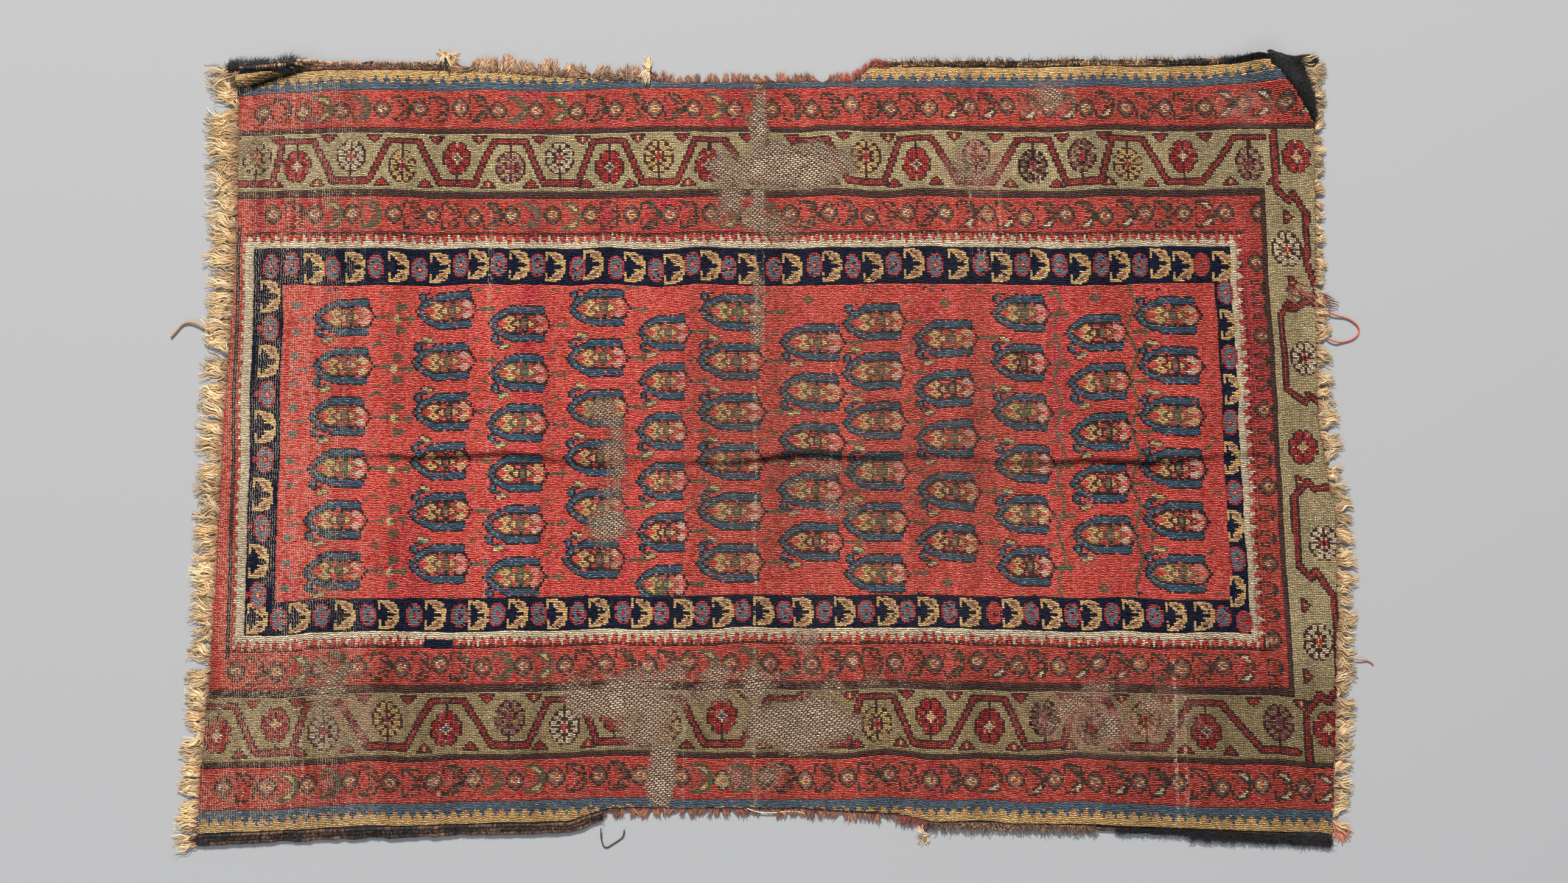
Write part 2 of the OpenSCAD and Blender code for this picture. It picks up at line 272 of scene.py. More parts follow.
def web_dashes(s, x, y):
    """Cream warps that show as slanting dashes, each row half a dash along from the last; 0 to 1."""
    slanted = s.plus(s.times(y, 0.74), s.times(x, 0.16))
    row = s.times(s.maths("FLOOR", slanted), 0.5)
    along = s.maths("FRACT", s.plus(s.times(x, 0.5), row))
    along = s.maths("ABSOLUTE", s.minus(along, 0.5))
    across = s.maths("ABSOLUTE", s.minus(s.maths("FRACT", slanted), 0.5))
    return s.times(s.remap(along, 0.24, 0.44, 1.0, 0.0), s.remap(across, 0.16, 0.40, 1.0, 0.0))


def wool_material(name, roughness, sheen):
    """Loose wool or hair: strands keep their own colours, with fine fibres along them."""
    s = Shader(name, roughness, sheen)
    place = s.object_place()
    fibre = s.noise(s.vector("MULTIPLY", place, (0.5, 0.5, 1)), 2200, 3, 0.7)
    patch = s.noise(place, 140, 2, 0.5)
    lightness = s.times(s.remap(fibre, 0.3, 0.7, 0.72, 1.25), s.remap(patch, 0.3, 0.7, 0.85, 1.12))
    s.bump(fibre, 0.0004, 0.6)
    return s.finish(s.vector("SCALE", s.attribute("strand_colour"), lightness),
                    s.remap(fibre, 0.3, 0.7, roughness - 0.1, roughness + 0.12))


for slot, roughness, sheen in [
        ("goat_hair", 0.55, 0.1), ("edge_cord", 0.8, 0.2), ("weft_wool", 0.85, 0.25),
        ("warp_wool", 0.75, 0.3), ("tie_wool", 0.8, 0.3), ("red_yarn", 0.8, 0.25),
        ("pink_wool", 0.82, 0.3), ("black_string", 0.6, 0.1)]:
    MATERIALS[slot] = wool_material(slot, roughness, sheen)

# ---------------------------------------------------------------------------
# The loose yarns, along the routes that part.scad gives them
# ---------------------------------------------------------------------------
LOOP_ROUTE = [
    (757, 174, 3.4), (764, 171, 3.4), (771, 168, 3.4), (778, 165, 3.2), (785, 163, 2.2), (792, 161.5, 1.3),
    (799, 159, 1.3), (805, 155, 1.3), (810, 150, 1.3), (812, 144, 1.3), (810, 138, 1.3), (805, 133, 1.3),
    (799, 130, 1.3), (792, 128, 1.3), (785, 127, 1.9), (779, 127.5, 3.2), (772, 130, 3.4), (766, 134, 3.4),
    (760, 138, 3.4)]
CURL_ROUTE = [
    (-738, 140, 3.7), (-744, 141, 3.7), (-750, 143, 3.7), (-756, 146, 3.7), (-762, 149.5, 3.7),
    (-768, 152.5, 3.7), (-774, 154.5, 3.2), (-780, 154.5, 2.3), (-786, 152.5, 1.6), (-791, 148.5, 1.6),
    (-795, 143.5, 1.6), (-799, 138.5, 1.6), (-803, 134, 1.6)]
SHORT_ROUTE = [
    (758, -289, 3.1), (763, -291, 3.1), (768, -293, 3.1), (773, -295, 3.1), (778, -296.5, 3.1),
    (783, -297.5, 3.1), (788, -298, 3.1), (793, -298.5, 2.8), (798, -299, 1.8), (802, -300, 1.1),
    (806, -302, 1), (809, -305, 1)]
STRAY_ROUTE = [
    (-18, -489, 5.7), (-13, -491, 5.4), (-8, -493, 4.6), (-3, -494, 3.6), (2, -494.5, 3.4), (7, -495, 3.4),
    (12, -495, 3.4), (17, -495, 3.4), (22, -494.5, 3.4), (27, -494, 3.4), (32, -493.5, 3.4), (37, -493, 3.4),
    (42, -493, 3.4), (47, -493.5, 3.4), (52, -494.5, 3.4), (57, -496, 3.4)]
STRING_ROUTE = [
    (-208, -514, 6), (-208, -518, 6), (-208, -522, 5.6), (-208, -526, 4), (-207.5, -530, 2),
    (-206.5, -534, 1), (-205, -537.5, 1), (-202, -539.5, 1), (-198, -538.5, 1), (-194, -536, 1),
    (-190, -533.5, 1), (-186, -531, 1), (-182, -528, 1.2), (-179.5, -524.5, 2.2),
    (-178.5, -520.5, 3.1), (-178, -516.5, 3.4)]


BETWEEN = 6      # places on the curve for each point of a route


def smooth_route(route):
    """A soft curve through the route's points."""
    points = np.array(route, float)
    ends = np.concatenate([[2 * points[0] - points[1]], points, [2 * points[-1] - points[-2]]])
    curve = []
    for i in range(1, len(ends) - 2):
        a, b, c, d = ends[i - 1:i + 3]
        for t in np.arange(BETWEEN) / BETWEEN:
            curve.append(0.5 * (2 * b + (c - a) * t + (2 * a - 5 * b + 4 * c - d) * t * t
                                + (3 * b - a - 3 * c + d) * t ** 3))
    return np.array(curve + [points[-1]])


PLY_TURN = 4.5      # half a turn of the two plies, in millimetres along the yarn


def yarn(name, node, slot, route, diameter, colour):
    """A loose yarn of two plies, twisted along its route."""
    path = smooth_route(route)
    forward = unit(np.gradient(path, axis=0))
    across = unit(np.stack([-forward[:, 1], forward[:, 0], 0 * forward[:, 0]], 1))
    upward = np.cross(forward, across)
    travelled = np.concatenate([[0], np.cumsum(np.linalg.norm(np.diff(path, axis=0), axis=1))])
    sides = 12
    ply = np.abs(np.cos(ring_angles(sides)[None, :] - travelled[:, None] / PLY_TURN * math.pi))
    radius = diameter / 2 * (0.74 + 0.26 * ply ** 0.6)
    last = (len(path) - 1) * sides
    fan = [[0, s + 2, s + 1, s] for s in range(1, sides - 2, 2)]
    far_fan = [[last, last + s, last + s + 1, last + s + 2] for s in range(1, sides - 2, 2)]
    piece = build_mesh(name, tube_points(path, across, upward, radius, sides),
                       np.concatenate([tube_quads(len(path), sides), fan, far_fan]))
    # Painted shade and highlight: the groove between the plies is darker and the crown of each ply lighter
    tones = linear(colour) * (0.45 + 0.75 * ply[..., None] ** 1.2)
    add_colours(piece, "strand_colour", tones.reshape(-1, 3), "POINT")
    finish_piece(piece, slot, [node])


yarn("red_loop_yarn", "loop_yarn", "red_yarn", LOOP_ROUTE, 2.4, (204, 104, 78))
yarn("left_curl_yarn", "curl_yarn", "warp_wool", CURL_ROUTE, 3.0, (190, 148, 104))
yarn("short_red_thread", "short_thread", "red_yarn", SHORT_ROUTE, 1.8, (190, 112, 92))
yarn("stray_ivory_warp", "stray_warp", "tie_wool", STRAY_ROUTE, 1.6, (228, 208, 176))
yarn("tied_black_string", "tied_string", "black_string", STRING_ROUTE, 1.6, (52, 44, 40))

# ---------------------------------------------------------------------------
# The knotted web: lines and edges, in millimetres, as part.scad has them, but finer at the curled corner
# ---------------------------------------------------------------------------
KNOT_W = 3.1          # one knot along the warps
KNOT_H = 2.24         # one row of knots, on average
HALF_LENGTH = 750     # the slope of the far lines and the bow of the near lines are given over this length
FIRST_X = -750.0      # where column 0 starts, on the rug's middle line
COLUMNS = 494
FAR_FIELD_Y = 206     # the edges of the field
NEAR_FIELD_Y = -217
NEAR_FIELD_EDGE = -224
FAR_SLOPE = 5         # how much the far edge rises from the middle to the right end, and falls to the left
NEAR_BOW = 10         # how much the near edge of the field bows towards the middle of the rug
NEAR_BOW_MORE = 9     # how much more the near edge of the rug does
LEAN = 4.0            # how far a column of knots leans to the left over half the field's width
HALF_FIELD = 215.0
FOUNDATION_T = 2.2    # how thick the web is
PILE_H = 2.6          # how high the pile stands on it

OFF_GOLD = 306        # how far the outer lines of the gold and the blue guard lie from the field
OFF_BLUE = 290
# How much of the gold guard is left along each long side: x and share
FAR_KEPT = [(-800, 1), (-400, 1), (-175, 0.1), (-125, -0.3), (125, -0.3), (150, 1), (800, 1)]
NEAR_KEPT = [(-800, 1), (-250, 1), (-200, 0), (50, 0), (175, 0.4), (225, 1), (800, 1)]
# The ends of the web, and below them the tips of the fringes: y and x
LEFT_END = [(-600, -734), (-534, -734), (-234, -725), (16, -724), (266, -717), (516, -727), (600, -727)]
RIGHT_END = [(-600, 742), (-534, 742), (-240, 763), (-111, 766), (29, 748), (429, 762), (470, 759),
             (520, 750), (600, 748)]
LEFT_TIPS = [(-540, -770), (-350, -764), (20, -766), (150, -764), (250, -768), (350, -774), (530, -778)]
RIGHT_TIPS = [(-540, 770), (-390, 786), (-230, 796), (-110, 796), (10, 783), (130, 777), (265, 774),
              (460, 782)]
# The fold of the curled corner runs between these two places
CURL_START = np.array([699.0, 523.0])
CURL_END = np.array([762.0, 445.0])

# The bands from the far edge to the near edge: name, rows of knots, and the offset of its first line
FAR_BANDS = [("gold", 7, 306), ("blue", 6, 290), ("outer_red", 25, 277), ("outer_dark", 3, 222),
             ("olive", 37, 215), ("inner_dark", 4, 132), ("inner_red", 22, 122), ("teeth", 5, 73),
             ("ivory", 4, 61), ("navy", 23, 51)]
FIELD_ROWS = 192
NEAR_NAVY_ROWS = 20


def lookup(table, at):
    return np.interp(at, [row[0] for row in table], [row[1] for row in table])


def far_y(x, off):
    return FAR_FIELD_Y + off + FAR_SLOPE * (x / HALF_LENGTH) * (off / OFF_GOLD)


def near_y(x, off):
    base = np.where(off == 0, NEAR_FIELD_EDGE, NEAR_FIELD_Y - off)
    return base + (NEAR_BOW + NEAR_BOW_MORE * off / OFF_GOLD) * np.maximum(0, 1 - (x / HALF_LENGTH) ** 2)


def far_edge(x):
    return far_y(x, OFF_BLUE + (OFF_GOLD - OFF_BLUE) * lookup(FAR_KEPT, x))


def near_edge(x):
    return near_y(x, OFF_BLUE + (OFF_GOLD - OFF_BLUE) * lookup(NEAR_KEPT, x))


# The two long sides: their edge, and which way is outwards
FAR = (far_edge, 1)
NEAR = (near_edge, -1)

# Row numbers where the bands begin, and how far from the field each line lies
far_names, far_rows, far_offs = (list(values) for values in zip(*FAR_BANDS))
far_offs.append(0)
near_offs = far_offs[::-1]
near_rows = [NEAR_NAVY_ROWS] + far_rows[:-1][::-1]
row_starts = np.cumsum([0] + far_rows + [FIELD_ROWS] + near_rows).tolist()
ROWS = row_starts[-1]
far_start = dict(zip(far_names + ["field"], row_starts))
near_start = dict(zip(["navy"] + far_names[:-1][::-1], row_starts[len(FAR_BANDS) + 1:]))
band_height = dict(zip(far_names, far_rows))


def line_heights(x):
    """The y of every band line, from the far edge to the near edge, at each x."""
    far = [far_y(x, off) for off in far_offs]
    near = [near_y(x, off) for off in near_offs]
    return np.array(far + near)


def knot_places(rows, columns):
    """Where the corners of the knots lie: x and y for row and column numbers."""
    columns = np.asarray(columns, float)
    rows = np.asarray(rows, float)
    x = FIRST_X + KNOT_W * columns
    lines = line_heights(x)
    y = np.empty((len(rows), len(columns)))
    for i in range(len(columns)):
        y[:, i] = np.interp(rows, row_starts, lines[:, i])
    return x[None, :] - LEAN * y / HALF_FIELD, y


def column_at(x, y=0.0):
    return (x + LEAN * y / HALF_FIELD - FIRST_X) / KNOT_W


def row_at(y, x=0.0):
    lines = line_heights(np.array([float(x)]))[:, 0]
    return float(np.interp(-y, -lines, row_starts))


# ---------------------------------------------------------------------------
# The chart: one letter for each knot
# ---------------------------------------------------------------------------
PALETTE = {
    "R": (222, 61, 40),     # coral red of the field
    "K": (202, 62, 40),     # brick red of the borders
    "C": (182, 40, 36),     # cherry red
    "V": (172, 52, 42),     # duller red of the vine
    "S": (226, 116, 80),    # salmon
    "N": (29, 33, 54),      # navy
    "B": (68, 90, 108),     # blue of the botehs
    "b": (112, 130, 138),   # its lighter knots
    "L": (96, 110, 122),    # blue of the guard and the ovals
    "D": (58, 48, 48),      # dark outline
    "U": (84, 58, 52),      # dark brown of the lines
    "P": (138, 84, 70),     # purple brown of the small rosettes
    "M": (164, 108, 88),    # mauve brown
    "Y": (222, 172, 98),    # gold
    "G": (108, 104, 76),    # leaf green
    "H": (80, 70, 56),      # dark green of the border leaves
    "g": (112, 122, 110),   # grey green
    "W": (224, 198, 160),   # ivory
    "k": (226, 148, 126),   # pink
    "O": (192, 168, 120),   # olive
    "T": (124, 88, 68),     # brown
}
CODE = {letter: number for number, letter in enumerate(PALETTE)}
chart = np.zeros((ROWS, COLUMNS), np.uint8)
zone = np.zeros((ROWS, COLUMNS), np.uint8)
ZONES = far_names + ["field"]
ZONE_CODE = {name: number for number, name in enumerate(ZONES)}
ROW_STRETCH = 1.25    # rows are lower than knots are wide, so square motifs get more rows


def fill(first_row, end_row, first_column, end_column, letter, zone_name=None):
    rows = slice(max(int(round(first_row)), 0), int(round(end_row)))
    columns = slice(max(int(round(first_column)), 0), int(round(end_column)))
    chart[rows, columns] = CODE[letter]
    if zone_name:
        zone[rows, columns] = ZONE_CODE[zone_name]


def mirrored(motif):
    """The top half of a motif with its middle row, followed by the same rows in reverse."""
    return motif + motif[-2::-1]


def softened(motif, letter, share):
    """The same motif with a share of one letter's knots dropped, so that an outline is broken."""
    return ["".join("." if mark == letter and rng.random() < share else mark for mark in line)
            for line in motif]


# Letters that a "?" in a motif is drawn from, for hearts of mixed wool
SPECKS = "YYYWkYM"


def stamp(motif, row, column, stretch=ROW_STRETCH, flip_y=False, swap=None, turn=False, only=None, loss=0.0):
    """Ties a motif with its middle at a row and a column. Dots leave the ground as it is.

    loss is the share of its knots that have faded into the ground.
    """
    cells = np.array([list(line) for line in motif])
    if turn:
        cells = cells.T
    if flip_y:
        cells = cells[::-1]
    high = int(round(cells.shape[0] * stretch))
    picked = (np.arange(high) + 0.5) * cells.shape[0] / high
    cells = cells[picked.astype(int)]
    top = int(round(row - cells.shape[0] / 2))
    left = int(round(column - cells.shape[1] / 2))
    for i, line in enumerate(cells):
        for j, letter in enumerate(line):
            if letter == "." or not 0 <= top + i < ROWS or not 0 <= left + j < COLUMNS:
                continue
            if loss and rng.random() < loss:
                continue
            if only is not None and zone[top + i, left + j] != ZONE_CODE[only]:
                continue
            if letter == "?":
                letter = SPECKS[rng.integers(len(SPECKS))]
            chart[top + i, left + j] = CODE[(swap or {}).get(letter, letter)]


def stamp_at(motif, x, y, **how):
    """Ties a motif with its middle at a place given in millimetres."""
    stamp(motif, row_at(y), column_at(x, y), **how)


def stroke(points, inner, outer, inner_half, outer_half, only):
    """A line of one colour with an outline of another, through points given as (row, column)."""
    low = np.min(points, 0) - 4
    high = np.max(points, 0) + 5
    rows = np.arange(max(int(low[0]), 0), min(int(high[0]) + 1, ROWS))
    columns = np.arange(max(int(low[1]), 0), min(int(high[1]) + 1, COLUMNS))
    grid_row, grid_column = np.meshgrid(rows + 0.5, columns + 0.5, indexing="ij")
    across, down = KNOT_W, KNOT_H
    nearest = np.full(grid_row.shape, 1e9)
    for start, end in zip(points[:-1], points[1:]):
        ax, ay = start[1] * across, start[0] * down
        bx, by = end[1] * across, end[0] * down
        px, py = grid_column * across, grid_row * down
        length = max((bx - ax) ** 2 + (by - ay) ** 2, 1e-6)
        share = np.clip(((px - ax) * (bx - ax) + (py - ay) * (by - ay)) / length, 0, 1)
        nearest = np.minimum(nearest, np.hypot(px - ax - share * (bx - ax), py - ay - share * (by - ay)))
    part = chart[rows[0]:rows[-1] + 1, columns[0]:columns[-1] + 1]
    allowed = zone[rows[0]:rows[-1] + 1, columns[0]:columns[-1] + 1] == ZONE_CODE[only]
    part[allowed & (nearest < outer_half)] = CODE[outer]
    part[allowed & (nearest < inner_half)] = CODE[inner]


# The grounds, from the outer bands to the field
GROUNDS = {"gold": "Y", "blue": "L", "outer_red": "K", "outer_dark": "U", "olive": "O", "inner_dark": "U",
           "inner_red": "K", "teeth": "K", "ivory": "W", "navy": "N", "field": "R"}
FAR_SIDE_ENDS = {"inner_dark": (-800, 695), "inner_red": (-800, 688), "teeth": (-705, 664),
                 "ivory": (-699, 652), "navy": (-689, 643), "field": (-647, 621)}
for name in ZONES:
    first = far_start[name]
    last = near_start[name] + band_height[name] if name in near_start else near_start["navy"]
    if name == "navy":
        last = near_start["navy"] + NEAR_NAVY_ROWS
    left, right = FAR_SIDE_ENDS.get(name, (-800, 800))
    fill(first, last, column_at(left), column_at(right), GROUNDS[name], name)

# The small motifs, each drawn knot by knot
BOTEH_HEART = [
    "...DBBbDDTTTDTTTDTTTDRkTDD..",
    "..DBbBDTTYYTTRRTDTRRTkWkTD..",
    "..DBbDTTYYYYTRRTTTRRkWkWkD..",
    ".DBBDTTYYTYYTTTGGTTRTkWkkRD.",
    ".DBbDTRRYYYTTYTGGTYTRTkWRRD.",
    "DBBDTRRRRYTTYYTMMTYYTRRRkRTD",
]
BOTEH = [
    "..........DDDDDDDDDDDDDD....",
    ".........DBbBBbBBBbBBBBBD...",
    ".......DDBBBbBBBBbBBBBBBB...",
    "......DBBBBBBBBBBBBBBBBBB...",
    ".....DBBBBBBBBbBBBBBBBBBD...",
    "....DBBbBDDDDDDDDDDDDDDDD...",
] + BOTEH_HEART + BOTEH_HEART[::-1] + [
    "..DDBBbBBDDDDDDDDDDDDDDDD...",
    ".DBBDDBBBBBBBBbBBBBBBBBBD...",
    ".DBbD.DBBBBBBBBBBBBBBBBBB...",
    ".DBbD..DDBBBbBBBBbBBBBBBB...",
    ".DBBD....DBbBBbBBBbBBBBBD...",
    "..DBBDD...DDDDDDDDDDDDDD....",
    "...DDBBgg...................",
    ".....TgYYg..................",
    "....TYYYYT..................",
    "....TYYTT...................",
    ".....TT.....................",
]
SMALL_ROSETTE = mirrored([
    "...HH...",
    "..HPPH..",
    ".HHPPHH.",
    ".HPPPPH.",
    "HPP??PPH",
    "HP??V?PH",
    "HP?L??PH",
])
CRAB = mirrored([
    "YYYYY....",
    "YYYYYYY..",
    "YNYMMMYY.",
    "YNNYMMYY.",
    "YNNYYMMY.",
    "YNNNYYMYY",
    "NNNNNYYYY",
    "NNNNYYYYY",
    "NNNNNNNYY",
    "NNNNNNNNY",
])
OVAL = mirrored([
    "..CCC..",
    ".CCbCC.",
    ".CbLbC.",
    "CbLbLbC",
    "CCbLbCC",
    "CbLCbbC",
    "CLbCCbC",
    "CbCYCLC",
])
LOBED = mirrored([
    "....UU.UU....",
    "...UCCUCCU...",
    "..UCCCUCCCU..",
    "..UCCCUCCCU..",
    ".UUCCCUCCCUU.",
    "UCCUCCUCCUCCU",
    "UCCCUCWCUCCCU",
    "UCCCCWBWCCCCU",
    "UUUUWBBBWUUUU",
])
DAISY = mirrored([
    "....DD.DD....",
    "...DWWDWWD...",
    "..DDWWDWWDD..",
    ".DWWDWDWDWWD.",
    ".DWWWDDDWWWD.",
    "DDDWWDDDWWDDD",
    "DWWDDWCWDDWWD",
    "DWWWDCBCDWWWD",
    "DDDDDCBCDDDDD",
])
TRIANGLE = [
    "UUUUUUU",
    "UVVYVVU",
    ".UVYVU.",
    "..UVU..",
    "...U...",
]

# --- The gold and blue guards: solid bands that meet in teeth -------------
TOOTH = 5
TOOTH_HALVES = (0, 0, 1, 1, 2)
for side in ("far", "near"):
    for step, half in enumerate(TOOTH_HALVES):
        row = far_start["blue"] - 3 + step if side == "far" else near_start["gold"] + 2 - step
        for column in range(COLUMNS):
            reach = abs(column % TOOTH - 2)
            letter = "L" if reach <= half and rng.random() < 0.93 else "Y"
            if letter == "Y" and rng.random() < 0.10:
                letter = "S"
            chart[row, column] = CODE[letter]

# --- The ivory line and the toothed guard, on all four sides --------------
TEETH_OUTWARD = ["WWWW", "WWWR", "RWWR", "RWRR", "RWRR", "URUR", "UUUU"]
SIDE_TOOTH = 6


def teeth_letter(step, along, pitch=4):
    slip = rng.choice([-1, 0, 0, 0, 0, 1])
    line = TEETH_OUTWARD[int(np.clip(step + slip, 0, len(TEETH_OUTWARD) - 1))]
    return line[int(along * 4 / pitch) % 4].replace("R", "K")


ivory_right = int(round(column_at(648)))
teeth_left, teeth_right = int(round(column_at(-705))), int(round(column_at(664)))
for column in range(teeth_left, teeth_right):
    for step in range(7):
        far_row = far_start["teeth"] + 6 - step
        near_row = near_start["ivory"] + 2 + step
        chart[far_row, column] = CODE[teeth_letter(step, column)]
        chart[near_row, column] = CODE[teeth_letter(step, column + 2)]
for row in range(far_start["teeth"], near_start["teeth"] + 5):
    for step in range(4):
        far_in = row - far_start["teeth"]
        near_in = near_start["teeth"] + 4 - row
        if min(far_in, near_in) > 5 - step:
            letter = teeth_letter((0, 2, 4, 5)[step], row, SIDE_TOOTH + 2)
            chart[row, min(ivory_right + step, COLUMNS - 1)] = CODE[letter]
    if min(row - far_start["teeth"], near_start["teeth"] + 4 - row) > 3:
        chart[row, teeth_left] = CODE["K" if row % 7 < 4 else "W"]
fill(far_start["inner_red"] + 18, near_start["inner_red"] + 4, column_at(-712), column_at(-706), "U")
# A piece of the guard near its left end is tied in navy
fill(near_start["teeth"], near_start["teeth"] + 5, column_at(-448), column_at(-412), "N")


def fitted(motif, width):
    """The same motif with columns dropped or doubled to reach a width in knots."""
    picked = [int((j + 0.5) * len(motif[0]) / width) for j in range(width)]
    return ["".join(line[j] for j in picked) for line in motif]


# --- The navy border: crabs and ovals by turns -----------------------------
far_navy_row = far_start["navy"] + 11.5
near_navy_row = near_start["navy"] + 10
FAR_CRABS = [-611, -555, -496, -440, -386, -331, -281, -228, -173, -120, -71, -17, 42, 98, 153, 207, 266,
             327, 379, 434, 488, 543, 574, 628]
FAR_OVALS = [-669, -641, -586, -525, -468, -412, -359, -306, -252, -198, -145, -95, -45, 15, 71, 126, 181,
             236, 298, 353, 407, 462, 515]
NEAR_CRABS = [-667, -610, -553, -492, -432, -375, -322, -271, -215, -157, -103, -51, 3, 57, 112, 167, 221,
              277, 331, 385, 436, 493, 550, 587]
NEAR_OVALS = [-638, -584, -522, -460, -400, -351, -296, -242, -183, -132, -77, -25, 31, 84, 139, 192, 248,
              306, 356, 411, 466, 521, 612]
ALL_RED = {"L": "C", "b": "K", "Y": "L"}
for x in FAR_CRABS:
    stamp(CRAB, far_navy_row + rng.integers(-1, 2), column_at(x, 231), stretch=1, loss=0.04)
for x in FAR_OVALS:
    stamp(OVAL, far_navy_row + rng.integers(-1, 2), column_at(x, 231), stretch=1, loss=0.06)
stamp(OVAL, far_navy_row, column_at(600, 231), stretch=1, swap=ALL_RED)
for x in NEAR_CRABS:
    stamp(CRAB, near_navy_row, column_at(x, -240), stretch=0.95, loss=0.04)
for x in NEAR_OVALS:
    swap = ALL_RED if x == 306 else None
    stamp(OVAL, near_navy_row, column_at(x, -240), stretch=0.95, swap=swap, loss=0.06)
stamp(OVAL, near_navy_row + 3, column_at(638, -246), stretch=0.9, swap={"b": "C"})
for k in range(5):
    y = 191 - 88 * k
    stamp_at(CRAB, -667, y, stretch=1.05)
    stamp(OVAL, row_at(y - 44), column_at(-667, y), stretch=1.1)
    stamp(["CC", "CC", "C."], row_at(y - 44), column_at(-682, y))
    right_y = 150 - 88 * k
    stamp_at(fitted(CRAB, 7), 632, right_y, stretch=1)
    stamp_at(fitted(OVAL, 7), 632, right_y + 44, stretch=1)


def leaf(fill, lower_fill=None):
    """The crab's outline in dark green, which the red borders use as a leaf; its lower arm may differ."""
    tinted = [line.replace("N", ".").replace("Y", "H") for line in CRAB]
    middle = len(tinted) // 2
    return [line.replace("M", fill) for line in tinted[:middle]] + [
        line.replace("M", lower_fill or fill) for line in tinted[middle:]]


# --- The red borders: small rosettes and leaves by turns ------------------
RED_PITCH = 54.2


def red_border(middle_row, y, first_x, last_x, name, pale_at=9999):
    count = int((last_x - first_x) / RED_PITCH) + 1
    for k in range(count):
        x = first_x + RED_PITCH * k
        tint = {"L": "Y", "P": "M"} if rng.random() < 0.2 else {}
        if abs(x - pale_at) < RED_PITCH / 2:
            tint = {"P": "O"}
        stamp(SMALL_ROSETTE, middle_row + rng.integers(-1, 2), column_at(x, y), stretch=1, swap=tint,
              only=name, loss=0.08)
        leaf_x = x + RED_PITCH / 2
        if leaf_x > last_x + 8:
            continue
        motif = leaf("KTPK"[k % 4])
        if k % 5 in (1, 2) and x < 100:
            motif = [line.replace("H", "G") for line in leaf("Y" if k % 2 else "P")]
        if 230 < x < 500:
            motif = leaf("T", "W")
        if x > 560:
            motif = leaf("W")
        stamp(softened(motif, "H", 0.2), middle_row, column_at(leaf_x, y), stretch=0.95, only=name, loss=0.08)


red_border(far_start["outer_red"] + 12.5, 455, -690, 745, "outer_red")
red_border(far_start["inner_red"] + 11, 303, -668, 640, "inner_red", -40)
red_border(near_start["inner_red"] + 11, -314, -692, 660, "inner_red")
red_border(near_start["outer_red"] + 12.5, -466, -700, 742, "outer_red", -26)
stamp(SMALL_ROSETTE, far_start["inner_red"] + 11, column_at(681, 303), stretch=1, only="inner_red")
for k in range(6):
    y = 236 - 100 * k
    stamp_at(SMALL_ROSETTE, 676, y, stretch=0.95, only="inner_red", loss=0.08)
    for leaf_y in (y - 35, y - 66):
        stamp_at(fitted(leaf("K"), 7), 676, leaf_y, stretch=0.55, only="inner_red")

# --- The olive border: a red vine that winds past rosettes ----------------
# Each rosette: its x, whether it sits high (U, the vine passes below) or low (D), its kind and colours
FAR_ROSETTES = [
    (-698, "U", "daisy", "OO"), (-640, "D", "lobed", "CW"), (-566, "U", "daisy", "WC"),
    (-494, "D", "daisy", "YB"), (-420, "U", "lobed", "CG"), (-347, "D", "daisy", "MB"),
    (-277, "U", "daisy", "WM"), (-211, "D", "lobed", "CB"), (-141, "U", "daisy", "YC"),
    (-72, "D", "lobed", "CB"), (10, "U", "daisy", "LB"), (68, "D", "daisy", "kM"),
    (143, "U", "daisy", "YC"), (211, "D", "lobed", "CB"), (294, "U", "daisy", "kC"),
    (373, "D", "daisy", "PB"), (442, "U", "daisy", "MC"), (504, "D", "daisy", "YM"),
    (581, "U", "lobed", "CW"), (672, "D", "daisy", "MB"), (736, "R", "lobed", "CY")]
NEAR_ROSETTES = [
    (-713, "D", "lobed", "CY"), (-637, "U", "lobed", "CY"), (-574, "D", "daisy", "WC"),
    (-491, "U", "daisy", "YB"), (-412, "D", "lobed", "CB"), (-329, "U", "daisy", "MB"),
    (-258, "D", "daisy", "WM"), (-191, "U", "lobed", "CY"), (-125, "D", "daisy", "YB"),
    (-50, "U", "lobed", "CB"), (33, "D", "daisy", "BD"), (88, "U", "daisy", "WP"),
    (153, "D", "daisy", "YC"), (223, "U", "lobed", "CY"), (300, "D", "lobed", "CW"),
    (371, "U", "daisy", "PB"), (434, "D", "daisy", "MC"), (504, "U", "daisy", "YC"),
    (584, "D", "lobed", "CB"), (679, "U", "daisy", "MB"), (743, "R", "lobed", "CY")]
RUN_HALF = {"U": 24, "D": 21}      # half of a level run of the vine, past a high or a low rosette
SPANDREL_AT = 30     # how far a corner triangle stands from its rosette


def rosette(kind, colours, row, column):
    petals, heart = colours
    if kind == "lobed":
        motif = softened(LOBED, "U", 0.12)
        stamp(motif, row, column, swap={"C": petals, "B": heart}, only="olive", loss=0.02)
        return
    outline = "U" if petals != "P" else "D"
    motif = softened(softened(DAISY, "D", 0.18), "W", 0.14)
    stamp(motif, row, column, swap={"D": outline, "W": petals, "C": "C", "B": heart}, only="olive")


